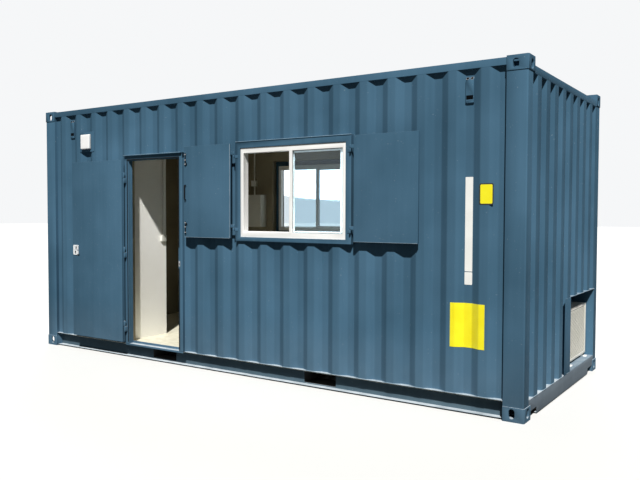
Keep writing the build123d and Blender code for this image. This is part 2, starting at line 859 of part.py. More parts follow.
def recess_liner():
    """Folded steel box round the condenser, with the flange that closes the wall beside it."""
    outer = block(recess_back, end_plane, recess_near, recess_far, bottom_rail_top, recess_top)
    inner = block(recess_back + recess_sheet, end_plane, recess_near + recess_sheet,
                  recess_far - recess_sheet, bottom_rail_top + recess_sheet, recess_top - recess_sheet)
    flange = block(end_plane, end_plane + recess_sheet, recess_near - recess_flange,
                   recess_near + recess_sheet, bottom_rail_top, recess_top)
    return [(outer - inner) + flange]


def recess_boxing():
    """Insulated panels over the part of the recess that stands in the room."""
    outer = block(recess_back - boxing_thickness, room_x, recess_near - boxing_thickness, room_y,
                  floor_z, recess_top + boxing_thickness)
    return [outer - block(recess_back, room_x, recess_near, room_y, floor_z, recess_top)]


def condenser_span():
    """Y limits of the condenser."""
    high = recess_far - condenser_side_gap
    return high - condenser_width, high


def condenser_casing():
    """Sheet-metal condenser housing on two feet, its face cut back for the grille."""
    low_y, high_y = condenser_span()
    front = condenser_front
    base = bottom_rail_top + recess_sheet
    low_z = base + condenser_foot
    high_z = low_z + condenser_height
    body = block(front - condenser_depth, front, low_y, high_y, low_z, high_z)
    body = fillet(body.edges().filter_by(Axis.X), condenser_radius)
    body -= block(front - grille_recess, front, low_y + grille_border, high_y - grille_border,
                  low_z + grille_border, high_z - grille_border)
    for start in (low_y + condenser_foot_width, high_y - 2 * condenser_foot_width):
        body += block(front - condenser_depth + condenser_radius, front - condenser_radius, start,
                      start + condenser_foot_width, base, low_z)
    return [body]


def condenser_grille():
    """Close horizontal fins between two stiles, set in the face of the condenser."""
    low_y, high_y = condenser_span()
    low_y, high_y = low_y + grille_border, high_y - grille_border
    back_x = condenser_front - grille_recess
    low_z = bottom_rail_top + recess_sheet + condenser_foot + grille_border
    high_z = low_z + condenser_height - 2 * grille_border
    count = int((high_z - low_z - grille_fin) / grille_pitch)
    fins = []
    for number in range(count + 1):
        place = low_z + number * grille_pitch
        fins.append(block(condenser_front - grille_fin_depth, condenser_front,
                          low_y + grille_stile, high_y - grille_stile, place, place + grille_fin))
    stiles = [
        block(back_x, condenser_front, low_y, low_y + grille_stile, low_z, high_z),
        block(back_x, condenser_front, high_y - grille_stile, high_y, low_z, high_z),
    ]
    return [stiles[0] + fins + stiles[1]]


def light_plate():
    """Flat plate over the trough behind the lamp."""
    return [block(light_left - light_plate_left, light_left + light_width + light_plate_right,
                  -side_plane - light_plate_thickness, -side_plane,
                  light_bottom - light_plate_edge, light_bottom + light_height + light_plate_edge)]


def light_fitting():
    """Square bulkhead lamp with rounded corners and a bevel round its face."""
    back_y = -side_plane - light_plate_thickness
    body = block(light_left, light_left + light_width, back_y - light_depth, back_y,
                 light_bottom, light_bottom + light_height)
    body = fillet(body.edges().filter_by(Axis.Y), light_radius)
    return [chamfer(body.faces().sort_by(Axis.Y)[0].edges(), light_bevel)]


def vents():
    """Moulded ventilators in the outermost troughs: a sloped top and a mouth near the base."""
    inner = -side_plane + side_depth
    mouth_low = vent_bottom + vent_mouth_rise
    mouth_half = vent_width / 2 - vent_mouth_border
    pieces = []
    for side in (-1, 1):
        middle = side * vent_trough * side_pitch
        outline = [
            (inner, vent_bottom),
            (inner, vent_bottom + vent_height),
            (-side_plane, vent_bottom + vent_height - vent_top_slope),
            (-side_plane, vent_bottom + vent_base_slope),
        ]
        face = make_face(Plane.YZ * Polyline(*outline, close=True))
        body = Pos(middle - vent_width / 2, 0, 0) * extrude(face, amount=vent_width, dir=(1, 0, 0))
        pieces.append(body - block(middle - mouth_half, middle + mouth_half, -side_plane,
                                   -side_plane + vent_mouth_depth, mouth_low,
                                   mouth_low + vent_mouth_height))
    return pieces


def partition():
    """Screen wall just inside the doorway on its left."""
    return [block(partition_face - partition_thickness, partition_face, -room_y,
                  -room_y + partition_length, floor_z, ceiling_z)]


def conduits():
    """Surface conduits from the ceiling: to the switch by the door and to the board."""
    switch_y = -room_y + partition_length - switch_from_end
    switch = block(partition_face, partition_face + switch_depth, switch_y - switch_size / 2,
                   switch_y + switch_size / 2, switch_bottom, switch_bottom + switch_size)
    pipe = upright_rod(partition_face + conduit_radius, switch_y, switch_bottom + switch_size,
                       ceiling_z, conduit_radius)
    board_x = board_left + board_conduit_offset
    second = upright_rod(board_x, room_y - conduit_radius, board_bottom + board_height,
                         ceiling_z, conduit_radius)
    box = block(board_x - junction_size / 2, board_x + junction_size / 2, room_y - junction_size / 2,
                room_y, junction_bottom, junction_bottom + junction_size)
    return [switch + pipe, second + box]


def distribution_board():
    """White switchboard cabinet on the back wall."""
    body = block(board_left, board_left + board_width, room_y - board_depth, room_y,
                 board_bottom, board_bottom + board_height)
    return [fillet(body.faces().sort_by(Axis.Y)[0].edges(), board_radius)]


os.makedirs("parts", exist_ok=True)

save("corner_fittings", corner_fittings())
save("corner_posts", corner_posts())
save("top_side_rails", top_side_rails())
save("top_end_rails", top_end_rails())
save("bottom_side_rails", bottom_side_rails())
save("bottom_end_rails", bottom_end_rails())
save("floor_cross_members", cross_members())
save("fork_pockets", fork_pockets())
save("floor", floor_boards())
save("roof", roof_sheet())
save("ceiling", ceiling_panel())

save("front_wall_left", [side_sheet(-fitting_x, frame_left, bottom_rail_top, top_rail_low)])
save("front_wall_over_door", [side_sheet(frame_left, frame_right, frame_top, top_rail_low)])
save("front_wall_middle", [side_sheet(frame_right, surround_left, bottom_rail_top, top_rail_low)])
save("front_wall_window_strips", window_strips(window_middle, surround_half))
save("front_wall_right", [side_sheet(surround_right, fitting_x, bottom_rail_top, top_rail_low)])
back_middle = -back_window_middle
back_panels = [
    side_sheet(-fitting_x, back_middle - surround_half, bottom_rail_top, top_rail_low),
    side_sheet(back_middle + surround_half, fitting_x, bottom_rail_top, top_rail_low),
]
save("back_wall_panels", back(back_panels))
save("back_wall_window_strips", back(window_strips(back_middle, surround_half)))
save("left_end_wall", back([end_sheet(-post_y, post_y, bottom_rail_top, end_rail_low)]))
save("right_end_wall", end_wall_near())
save("right_end_wall_over_recess", [end_sheet(recess_near, post_y, recess_top, end_rail_low)])

front_lining = [
    side_lining(-fitting_x, frame_left, floor_z, ceiling_z),
    side_lining(frame_right, surround_left, floor_z, ceiling_z),
    side_lining(surround_right, fitting_x, floor_z, ceiling_z),
]
back_lining = [
    side_lining(-fitting_x, back_middle - surround_half, floor_z, ceiling_z),
    side_lining(back_middle + surround_half, fitting_x, floor_z, ceiling_z),
]
over_door = side_lining(frame_left, frame_right, frame_top, ceiling_z)
save("side_lining_panels", front_lining + back(back_lining))
save("side_lining_strips", [over_door] + window_lining_strips(window_middle)
     + back(window_lining_strips(back_middle)))
left_lining = block(-wall_inner_x, -room_x, -post_y, post_y, floor_z, ceiling_z)
right_lining = block(room_x, wall_inner_x, -post_y, recess_near, floor_z, ceiling_z)
save("end_linings", [left_lining, right_lining])
save("end_lining_over_recess", [block(room_x, wall_inner_x, recess_near, post_y, recess_top, ceiling_z)])

save("door_jambs", door_jambs())
save("door_head", door_head())
save("door_threshold", door_threshold())
save("door_hinge_pins", door_hinge_pins())
save("door_leaf", door_leaf())
save("door_hinge_knuckles", door_hinge_knuckles())
save("door_lock", door_lock())

front_sash, front_sash_pane = sash(window_middle, 1)
back_sash, back_sash_pane = sash(back_middle, -1)
save("window_surrounds", [window_surround(window_middle)] + back([window_surround(back_middle)]))
save("window_frames", [window_frame(window_middle)] + back([window_frame(back_middle)]))
save("window_sashes", [front_sash] + back([back_sash]))
save("window_glass", [fixed_pane(window_middle, 1), front_sash_pane]
     + back([fixed_pane(back_middle, 1), back_sash_pane]))

save("shutter_left", [shutter(-1)])
save("shutter_right", [shutter(1)])
save("shutter_bolts", shutter_bolts())
save("shutter_hinge_pins", shutter_hinge_pins(-1) + shutter_hinge_pins(1))
save("left_shutter_knuckles", shutter_hinge_knuckles(-1))
save("right_shutter_knuckles", shutter_hinge_knuckles(1))

save("recess_liner", recess_liner())
save("recess_boxing", recess_boxing())
save("condenser_casing", condenser_casing())
save("condenser_grille", condenser_grille())
save("light_plate", light_plate())
save("light_fitting", light_fitting())
save("vents", vents())
save("partition", partition())
save("conduits", conduits())
save("distribution_board", distribution_board())
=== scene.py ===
"""Shipping container cabin: its finishes, fine shapes and studio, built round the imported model.

Metres, in the model's own frame: origin on the ground under the middle of the container, +X
towards the end with the condenser recess, the door and window side faces -Y, +Z up.
"""
import json
from math import radians

import bmesh
import bpy
import numpy as np
from mathutils import Matrix, Vector

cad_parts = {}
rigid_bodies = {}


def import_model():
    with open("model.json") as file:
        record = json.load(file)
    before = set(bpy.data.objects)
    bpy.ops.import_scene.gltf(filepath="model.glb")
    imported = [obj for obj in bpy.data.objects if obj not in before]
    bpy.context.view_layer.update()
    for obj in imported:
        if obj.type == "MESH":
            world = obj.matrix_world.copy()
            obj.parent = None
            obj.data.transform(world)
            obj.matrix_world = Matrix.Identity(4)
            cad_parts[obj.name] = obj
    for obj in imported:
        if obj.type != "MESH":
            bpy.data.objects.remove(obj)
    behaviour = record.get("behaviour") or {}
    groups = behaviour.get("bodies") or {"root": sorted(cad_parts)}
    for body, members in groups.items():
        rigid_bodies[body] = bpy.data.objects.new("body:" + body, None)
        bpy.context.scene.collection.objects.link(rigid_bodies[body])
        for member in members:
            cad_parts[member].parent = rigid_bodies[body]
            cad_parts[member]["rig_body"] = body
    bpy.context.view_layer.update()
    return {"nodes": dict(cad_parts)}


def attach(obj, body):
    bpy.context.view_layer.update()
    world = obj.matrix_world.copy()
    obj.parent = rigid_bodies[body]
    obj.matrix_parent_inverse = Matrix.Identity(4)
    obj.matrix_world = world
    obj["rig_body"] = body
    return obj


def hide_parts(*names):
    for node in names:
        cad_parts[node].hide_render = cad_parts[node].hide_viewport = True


for leftover in list(bpy.data.objects):
    bpy.data.objects.remove(leftover)
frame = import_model()
nodes = frame["nodes"]

# The corrugated sheets: thickness, and each wall's wave as pitch, width of the trough's floor,
# width of a slope, depth, place of a trough's middle, and how far a fold's round runs (in slopes)
sheet_thickness = 0.002
side_wave = {"pitch": 0.282, "trough": 0.070, "slope": 0.068, "depth": 0.036,
             "shift": 0.0, "ease": 0.05}
end_wave = {"pitch": 0.250, "trough": 0.104, "slope": 0.018, "depth": 0.0456,
            "shift": -0.036, "ease": 0.14}
# Rows of points up a wall, and how far its thin sheet sags
wall_rows = 15
wall_sag = 0.0009

# The roof's pressed swages: pitch, width at half height, rise, distance of their ends from the
# roof's edge, and how far a fold's round runs (in rises); and how far the sheet sags
swage_pitch = 0.209
swage_width = 0.105
swage_height = 0.020
swage_margin = 0.055
swage_ease = 0.25
roof_sag = 0.002

# How far the base rails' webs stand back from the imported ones, under their top flanges; and the
# ventilators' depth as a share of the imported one's, with the drop of their sloped tops
web_set_back = 0.032
vent_depth_share = 0.45
vent_slope_drop = 0.030


# Points, faces and pieces

def points_of(mesh):
    """Places of a mesh's points, one row each."""
    flat = np.empty(len(mesh.vertices) * 3, np.float32)
    mesh.vertices.foreach_get("co", flat)
    return flat.reshape(-1, 3)


def limits(node, axis=None, sign=1):
    """Lowest and highest corner of a CAD node, or of its part on one side of an axis."""
    points = points_of(nodes[node].data).astype(float)
    if axis is not None:
        points = points[points[:, axis] * sign > 0]
    return points.min(axis=0), points.max(axis=0)


def grid_faces(rows, columns, closed=False):
    """Quads between the points of a grid, row by row; closed joins its last column to the first."""
    row, column = np.meshgrid(np.arange(rows - 1), np.arange(columns if closed else columns - 1),
                              indexing="ij")
    beside = (column + 1) % columns
    corners = [row * columns + column, row * columns + beside,
               (row + 1) * columns + beside, (row + 1) * columns + column]
    return np.stack(corners, axis=-1).reshape(-1, 4)


def joined(shapes):
    """Several shapes as one. A shape is its points and its groups of faces of like corners."""
    points, groups, start = [], [], 0
    for vertices, faces in shapes:
        points.append(vertices)
        groups.extend(group + start for group in faces)
        start += len(vertices)
    return np.concatenate(points), groups


def turned(shape):
    """The shape turned half round the upright axis."""
    return shape[0] * (-1, -1, 1), shape[1]


def in_scene(name, data):
    """New object of that mesh, lamp or camera, linked into the scene."""
    made = bpy.data.objects.new(name, data)
    bpy.context.scene.collection.objects.link(made)
    return made


def piece(name, shape, finish, body="cabin", smooth=30.0, stands_for=()):
    """Mesh object of a shape: it rides on a body and may stand for CAD nodes.

    Faces that meet at less than the smooth angle, in degrees, shade as one round surface.
    """
    vertices, groups = shape
    mesh = bpy.data.meshes.new(name)
    mesh.from_pydata(vertices.tolist(), [], [face for group in groups for face in group.tolist()])
    mesh.validate()
    mesh.shade_smooth()
    mesh.set_sharp_from_angle(angle=radians(smooth))
    mesh.materials.append(finish)
    made = in_scene(name, mesh)
    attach(made, body)
    if stands_for:
        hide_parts(*stands_for)
    return made


def softened(node, width, finish, depths=None):
    """Copy of a CAD node with its sharp edges rounded, which stands for the node.

    The copy's loose triangles are merged and its flat faces made whole before the round, which
    keeps flats shading flat. depths is a function that gives, from how far out from the cabin's
    middle plane the node's points lie, how far out the copy's do.
    """
    shape = bmesh.new()
    shape.from_mesh(nodes[node].data)
    bmesh.ops.remove_doubles(shape, verts=shape.verts, dist=1e-5)
    bmesh.ops.dissolve_limit(shape, angle_limit=radians(1), verts=shape.verts, edges=shape.edges)
    mesh = bpy.data.meshes.new(node + "_finished")
    shape.to_mesh(mesh)
    shape.free()
    if depths:
        points = points_of(mesh)
        points[:, 1] = np.sign(points[:, 1]) * depths(np.abs(points[:, 1]))
        mesh.vertices.foreach_set("co", points.ravel())
    mesh.shade_smooth()
    mesh.materials.clear()
    mesh.materials.append(finish)
    made = in_scene(node + "_finished", mesh)
    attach(made, nodes[node]["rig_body"])
    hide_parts(node)
    bevel = made.modifiers.new("round_edges", "BEVEL")
    bevel.width = width
    bevel.segments = 2
    bevel.limit_method = "ANGLE"
    bevel.angle_limit = radians(35)
    bevel.harden_normals = True


def boxes(spans):
    """Plain boxes from rows of low x, high x, low y, high y, low z, high z."""
    spans = np.asarray(spans, float).reshape(-1, 6)
    pick = np.array([[x, 2 + y, 4 + z] for x in (0, 1) for y in (0, 1) for z in (0, 1)])
    sides = np.array([[0, 1, 3, 2], [4, 6, 7, 5], [0, 4, 5, 1],
                      [2, 3, 7, 6], [0, 2, 6, 4], [1, 5, 7, 3]])
    faces = sides[None] + 8 * np.arange(len(spans))[:, None, None]
    return spans[:, pick].reshape(-1, 3), [faces.reshape(-1, 4)]


def rounded_ring(width, height, radius, corner_steps):
    """Rectangle with rounded corners, anticlockwise: four quarter circles of that radius."""
    turn = np.linspace(0, np.pi / 2, corner_steps)
    signs = np.array([[1, 1], [-1, 1], [-1, -1], [1, -1]])
    corners = signs * (width / 2 - radius, height / 2 - radius)
    angle = turn[None, :] + np.arange(4)[:, None] * np.pi / 2
    across = corners[:, :1] + radius * np.cos(angle)
    up = corners[:, 1:] + radius * np.sin(angle)
    return across.ravel(), up.ravel()


# A form's own across, up and out, by the way that it faces
facing_axes = {
    "-y": ((1, 0, 0), (0, 0, 1), (0, -1, 0)),
    "+z": ((1, 0, 0), (0, 1, 0), (0, 0, 1)),
}


def pressed(centre, width, height, radius, profile, facing="-y"):
    """Closed form made of rounded rectangles stacked outwards from centre, capped at both ends.

    Each step of the profile is how far the rectangle is drawn in and how far out it stands; the
    corner radius shrinks with the drawing in, down to a tenth of a millimetre.
    """
    corner_steps = 6
    across_axis, up_axis, out_axis = np.array(facing_axes[facing], float)
    rings = []
    for inset, rise in profile:
        across, up = rounded_ring(width - 2 * inset, height - 2 * inset,
                                  max(radius - inset, 0.0001), corner_steps)
        rings.append(np.outer(across, across_axis) + np.outer(up, up_axis) + rise * out_axis)
    columns = 4 * corner_steps
    cap = np.arange(columns)
    last = (len(profile) - 1) * columns
    faces = [grid_faces(len(profile), columns, closed=True), cap[None, ::-1], cap[None] + last]
    return np.concatenate(rings) + centre, faces


def tube(path, radius, plane_normal, sides=8):
    """Round bar along a path that lies in one plane: a circle carried along it, capped."""
    path = np.asarray(path, float)
    normal = np.asarray(plane_normal, float)
    along = np.gradient(path, axis=0)
    along /= np.linalg.norm(along, axis=1, keepdims=True)
    beside = np.cross(normal, along)
    angle = np.arange(sides) * 2 * np.pi / sides
    rings = (path[:, None] + radius * np.cos(angle)[None, :, None] * beside[:, None]
             + radius * np.sin(angle)[None, :, None] * normal)
    cap = np.arange(sides)
    last = (len(path) - 1) * sides
    faces = [grid_faces(len(path), sides, closed=True), cap[None, ::-1], cap[None] + last]
    return rings.reshape(-1, 3), faces


def bar(start, end, radius, sides=8):
    """Straight round bar between two points: a tube on a path of two."""
    start, end = np.asarray(start, float), np.asarray(end, float)
    direction = end - start
    helper = np.eye(3)[np.argmin(np.abs(direction))]
    normal = np.cross(direction, helper)
    normal /= np.linalg.norm(normal)
    return tube(np.array([start, end]), radius, normal, sides)


def dome(centre, radius, height):
    """Low dome that faces -y, a screw's head: a circle drawn in along most of a quarter ellipse."""
    steps, sides = 5, 12
    across_axis, up_axis, out_axis = np.array(facing_axes["-y"], float)
    turn = np.linspace(0, 0.94 * np.pi / 2, steps)
    angle = np.arange(sides) * 2 * np.pi / sides
    circle = np.outer(np.cos(angle), across_axis) + np.outer(np.sin(angle), up_axis)
    rings = (radius * np.cos(turn)[:, None, None] * circle
             + height * np.sin(turn)[:, None, None] * out_axis)
    cap = np.arange(sides)
    last = (steps - 1) * sides
    faces = [grid_faces(steps, sides, closed=True), cap[None, ::-1], cap[None] + last]
    return rings.reshape(-1, 3) + centre, faces


# Materials

def linear(code):
    """sRGB hex colour as linear red, green, blue and an alpha of one."""
    parts = np.array([int(code[at:at + 2], 16) / 255 for at in (1, 3, 5)])
    light = np.where(parts <= 0.04045, parts / 12.92, ((parts + 0.055) / 1.055) ** 2.4)
    return (*light.tolist(), 1.0)


def add_node(tree, kind, links=None, values=None, **settings):
    """Adds one node: settings are its fields, values its constants, links the outputs it reads."""
    made = tree.nodes.new("ShaderNode" + kind)
    for field, setting in settings.items():
        setattr(made, field, setting)
    for socket, value in (values or {}).items():
        made.inputs[socket].default_value = value
    for socket, output in (links or {}).items():
        tree.links.new(output, made.inputs[socket])
    return made


def surface_of(name, values):
    """New material with one Principled surface, and the constants that it has all over."""
    made = bpy.data.materials.new(name)
    made.use_nodes = True
    surface = made.node_tree.nodes["Principled BSDF"]
    for socket, value in values.items():
        surface.inputs[socket].default_value = value
    return made, made.node_tree, surface


def enamel(name, colour, deep, pale, splash_share, ledge_dust_and_highlight_share, roughness):
    """Sprayed marine enamel over pressed steel, satin and a few seasons old.

    The eye sees one blue-grey with soft clouds about a metre wide, faint upright rain streaks
    80 mm apart, a pale tone on every upward ledge, more of it low down, which is partly road dust
    and partly a painted highlight where the sun falls on ledges, dust thinly on the lowest half
    metre, and here and there a pale chip of 5 mm. splash_share is the dust on upright faces near
    the ground and ledge_dust_and_highlight_share the dust and painted highlight on ledges.
    """
    made, tree, surface = surface_of(name, {"IOR": 1.5, "Specular IOR Level": 0.005})
    place = add_node(tree, "TexCoord").outputs["Object"]
    cloud = add_node(tree, "TexNoise", {"Vector": place}, {"Scale": 1.1, "Detail": 3.0})
    upright = add_node(tree, "Mapping", {"Vector": place}, {"Scale": (12.0, 12.0, 0.5)})
    streak = add_node(tree, "TexNoise", {"Vector": upright.outputs[0]},
                      {"Scale": 1.0, "Detail": 3.0, "Roughness": 0.6})
    both = add_node(tree, "Mix", {2: cloud.outputs[0], 3: streak.outputs[0]}, {0: 0.25})
    tone = add_node(tree, "MapRange", {0: both.outputs[0]}, {1: 0.38, 2: 0.62})
    shade = add_node(tree, "Mix", {0: tone.outputs[0]}, {6: linear(deep), 7: linear(pale)},
                     data_type="RGBA")
    body = add_node(tree, "Mix", {7: shade.outputs[2]}, {0: 0.7, 6: linear(colour)},
                    data_type="RGBA")

    height = add_node(tree, "SeparateXYZ", {0: place})
    low = add_node(tree, "MapRange", {0: height.outputs[2]},
                   {1: 0.10, 2: 0.65, 3: splash_share, 4: 0.0})
    # Upward faces get the pale tone: dust, and a painted highlight for the sun falling on them from
    # above
    normal = add_node(tree, "NewGeometry").outputs["Normal"]
    slope = add_node(tree, "SeparateXYZ", {0: normal})
    flat = add_node(tree, "MapRange", {0: slope.outputs[2]}, {1: 0.55, 2: 0.95})
    ledge_mark_by_height = add_node(tree, "MapRange", {0: height.outputs[2]},
                       {1: 0.9, 2: 2.4, 3: ledge_dust_and_highlight_share, 4: 0.3 * ledge_dust_and_highlight_share})
    ledge = add_node(tree, "Math", {0: flat.outputs[0], 1: ledge_mark_by_height.outputs[0]},
                     operation="MULTIPLY")
    either = add_node(tree, "Math", {0: low.outputs[0], 1: ledge.outputs[0]}, operation="MAXIMUM")
    patch = add_node(tree, "TexNoise", {"Vector": place}, {"Scale": 7.0, "Detail": 5.0})
    patches = add_node(tree, "MapRange", {0: patch.outputs[0]}, {1: 0.30, 2: 0.65, 3: 0.60})
    dust_and_highlight_mask = add_node(tree, "Math", {0: either.outputs[0], 1: patches.outputs[0]},
                       operation="MULTIPLY")
    # Pale bluish tone: road dust, and on ledges also a painted highlight
    dusted_and_highlit = add_node(tree, "Mix", {0: dust_and_highlight_mask.outputs[0], 6: body.outputs[2]},
                      {7: linear("#ccd5dc")}, data_type="RGBA")

    fleck = add_node(tree, "TexNoise", {"Vector": place}, {"Scale": 85.0, "Detail": 1.0})
    chips = add_node(tree, "MapRange", {0: fleck.outputs[0]}, {1: 0.765, 2: 0.785, 4: 0.45})
    chipped = add_node(tree, "Mix", {0: chips.outputs[0], 6: dusted_and_highlit.outputs[2]},
                       {7: linear("#a9b5bb")}, data_type="RGBA")
    tree.links.new(chipped.outputs[2], surface.inputs["Base Color"])

    gloss = add_node(tree, "MapRange", {0: patch.outputs[0]},
                     {1: 0.3, 2: 0.7, 3: roughness - 0.05, 4: roughness + 0.07})
    tree.links.new(gloss.outputs[0], surface.inputs["Roughness"])
    dents = add_node(tree, "TexNoise", {"Vector": place}, {"Scale": 2.6, "Detail": 2.0})
    dented = add_node(tree, "Bump", {"Height": dents.outputs[0]},
                      {"Strength": 0.25, "Distance": 0.006})
    peel = add_node(tree, "TexNoise", {"Vector": place}, {"Scale": 110.0, "Detail": 2.0})
    peeled = add_node(tree, "Bump", {"Height": peel.outputs[0], "Normal": dented.outputs[0]},
                      {"Strength": 0.07, "Distance": 0.001})
    tree.links.new(peeled.outputs[0], surface.inputs["Normal"])
    return made


def mottled(name, colour, other, scale, roughness, grain, grain_depth, values=None):
    """A moulded, rolled or powder-coated surface: two near tones in soft patches and a fine grain.

    scale is patches a metre and grain is grains a metre; grain_depth is in metres.
    """
    made, tree, surface = surface_of(name, values or {})
    place = add_node(tree, "TexCoord").outputs["Object"]
    patch = add_node(tree, "TexNoise", {"Vector": place}, {"Scale": scale, "Detail": 4.0})
    share = add_node(tree, "MapRange", {0: patch.outputs[0]}, {1: 0.35, 2: 0.65})
    tone = add_node(tree, "Mix", {0: share.outputs[0]}, {6: linear(colour), 7: linear(other)},
                    data_type="RGBA")
    tree.links.new(tone.outputs[2], surface.inputs["Base Color"])
    gloss = add_node(tree, "MapRange", {0: patch.outputs[0]},
                     {1: 0.3, 2: 0.7, 3: roughness - 0.04, 4: roughness + 0.04})
    tree.links.new(gloss.outputs[0], surface.inputs["Roughness"])
    fine = add_node(tree, "TexNoise", {"Vector": place}, {"Scale": grain, "Detail": 2.0})
    bump = add_node(tree, "Bump", {"Height": fine.outputs[0]},
                    {"Strength": 0.5, "Distance": grain_depth})
    tree.links.new(bump.outputs[0], surface.inputs["Normal"])
    return made


blue_enamel = enamel("blue_grey_enamel", "#44657b", "#3c5b70", "#4d6f87", 0.05, 0.90, 0.56)
# The roof weathers faster than the walls: duller, and pale between the swages with dust and a
# painted highlight
roof_enamel = enamel("weathered_roof_enamel", "#47606f", "#3d5666", "#566c78", 0.0, 0.40, 0.62)
# The same enamel where rain splashes the base rails: greyed with road dust, more so at the ends,
# and pale on their ledges with dust and a painted highlight
splashed_enamel = enamel("splashed_rail_enamel", "#415764", "#3a4f5c", "#4a616d", 0.05, 0.95, 0.66)
dusty_enamel = enamel("dusty_end_rail_enamel", "#6b7884", "#626f7b", "#75828d", 0.10, 0.95, 0.66)
# The same enamel inside the condenser recess, with less of the pale dust and painted highlight on
# its ledges, so the recess, which lies in shade, stays darker
recess_enamel = enamel("recess_enamel", "#44657b", "#3c5b70", "#4d6f87", 0.0, 0.42, 0.56)
# Aluminium fin stock of a coil: pale grey, dull
coil_fins = mottled("aluminium_fin_stock", "#8e938f", "#a2a6a0", 60.0, 0.55, 700.0, 0.0003,
                    {"Metallic": 0.3})
# Enamel brushed over a weld bead, pale with dust and with a painted highlight, as where the bead
# catches the light
bead_enamel_highlit = mottled("bead_enamel_dust_and_painted_highlight", "#9fb0bc", "#7d92a1", 9.0, 0.50, 160.0, 0.0006,
                      {"Specular IOR Level": 0.1})
# Bitumen paint under the floor: near black and dull
chassis_black = mottled("bitumen_paint", "#191b1c", "#2a2b2a", 9.0, 0.72, 240.0, 0.0006)
# Pre-painted steel facing of insulated panels: off-white, smooth, with a shallow emboss
panel_facing = mottled("pre_painted_panel_facing", "#fbfaf5", "#f6f4ed", 2.0, 0.48, 320.0, 0.0003)
# The same facing on the walls, in a dark beige brown: partly the facing's own tone, partly painted
# shade of the dim room
beige_facing_and_room_shade = mottled("beige_panel_facing_painted_shade", "#9a9078", "#8c826b", 2.0, 0.52, 320.0, 0.0003)
# Sheet vinyl on plywood: cream with a faint mottle
sheet_vinyl = mottled("cream_sheet_vinyl", "#e6e2cf", "#d8d3bd", 14.0, 0.42, 420.0, 0.0002)
# Powder coat on aluminium: clean white with a very fine grain
white_powder_coat = mottled("white_powder_coat", "#f7f7f5", "#f0f0ee", 5.0, 0.36, 600.0, 0.0002)
# Powder coat on sheet steel: cream, a little chalky outdoors
cream_powder_coat = mottled("cream_powder_coat", "#fbf8ee", "#f1eee2", 6.0, 0.45, 500.0, 0.0002)
# Opal polycarbonate: milk white and smooth, light goes a little way in
opal_cover = mottled("opal_polycarbonate", "#f6f7f6", "#f0f2f1", 8.0, 0.30, 300.0, 0.0001,
                     {"Subsurface Weight": 0.15, "Subsurface Radius": (0.02, 0.02, 0.02)})
# Grey glass-filled nylon under the lamp's cover
grey_plastic = mottled("grey_moulded_nylon", "#8b9297", "#7d8489", 12.0, 0.50, 500.0, 0.0002)
# Urea plastic of switches and conduit: white, slightly warm
electrical_plastic = mottled("white_electrical_plastic", "#ecebe4", "#e3e2da", 10.0, 0.35, 400.0,
                             0.0001)
# Stoved enamel on the switchboard: pale, flat and even
board_enamel = mottled("stoved_white_enamel", "#e6e4db", "#dddbd1", 4.0, 0.40, 450.0, 0.0002)
# Extruded rubber: black, matt, slightly worn pale
black_rubber = mottled("black_extruded_rubber", "#121315", "#1d1f22", 25.0, 0.70, 300.0, 0.0004,
                       {"Specular IOR Level": 0.1})
# Insect mesh behind a hole: black and matt, with a fine grain in place of its wires; its black also
# paints the shade inside holes and mouths
black_mesh_and_hole_shade = mottled("black_insect_mesh_painted_hole_shade", "#050608", "#0a0c0f", 300.0, 0.85, 900.0, 0.0004,
                     {"Specular IOR Level": 0.03})
# Near-black steel, with a faint shine
black_steel = mottled("near_black_steel", "#0d1015", "#191d22", 40.0, 0.48, 400.0, 0.0003,
                      {"Specular IOR Level": 0.12})
# Sign enamel and sign film: strong flat colours, satin
sign_yellow = mottled("yellow_sign_enamel", "#f8ee1e", "#f3e412", 6.0, 0.38, 500.0, 0.0001)
sign_black = mottled("black_sign_border", "#1c1c17", "#26261f", 12.0, 0.45, 500.0, 0.0001)
sign_white = mottled("white_sign_vinyl", "#f6f6f2", "#eeeeea", 7.0, 0.40, 500.0, 0.0001)
# Chromed zinc casting: bright, with faint hand marks in its gloss
chrome = mottled("chromed_zinc", "#d9dadb", "#cfd0d2", 30.0, 0.14, 200.0, 0.0001, {"Metallic": 1.0})
# Zinc die casting, satin: paler than plated steel
lock_zinc = mottled("satin_zinc_casting", "#e3e5e6", "#d2d5d7", 40.0, 0.30, 300.0, 0.0002,
                    {"Metallic": 0.85})
# Zinc-plated screws, keepers and collars: grey metal with a spangle
zinc_plate = mottled("zinc_plated_steel", "#b5b8ba", "#9fa3a6", 90.0, 0.36, 300.0, 0.0003,
                     {"Metallic": 1.0})


def float_glass():
    """Float glass, 5 mm, clear and faintly blue, its gloss dulled in places by rain spots.

    Sunlight passes it, so what stands behind a pane is lit as the eye expects.
    """
    made, tree, surface = surface_of("float_glass", {
        "Base Color": linear("#e4f0f6"), "IOR": 1.35, "Transmission Weight": 1.0})
    place = add_node(tree, "TexCoord").outputs["Object"]
    spots = add_node(tree, "TexNoise", {"Vector": place}, {"Scale": 30.0, "Detail": 4.0})
    gloss = add_node(tree, "MapRange", {0: spots.outputs[0]}, {1: 0.55, 2: 0.8, 3: 0.0, 4: 0.12})
    tree.links.new(gloss.outputs[0], surface.inputs["Roughness"])
    rays = add_node(tree, "LightPath")
    passed = add_node(tree, "BsdfTransparent", values={"Color": linear("#eef5f8")})
    mixed = add_node(tree, "MixShader", {0: rays.outputs["Is Shadow Ray"], 1: surface.outputs[0],
                                         2: passed.outputs[0]})
    tree.links.new(mixed.outputs[0], tree.nodes["Material Output"].inputs["Surface"])
    return made


clear_glass = float_glass()


# Corrugated walls and the roof

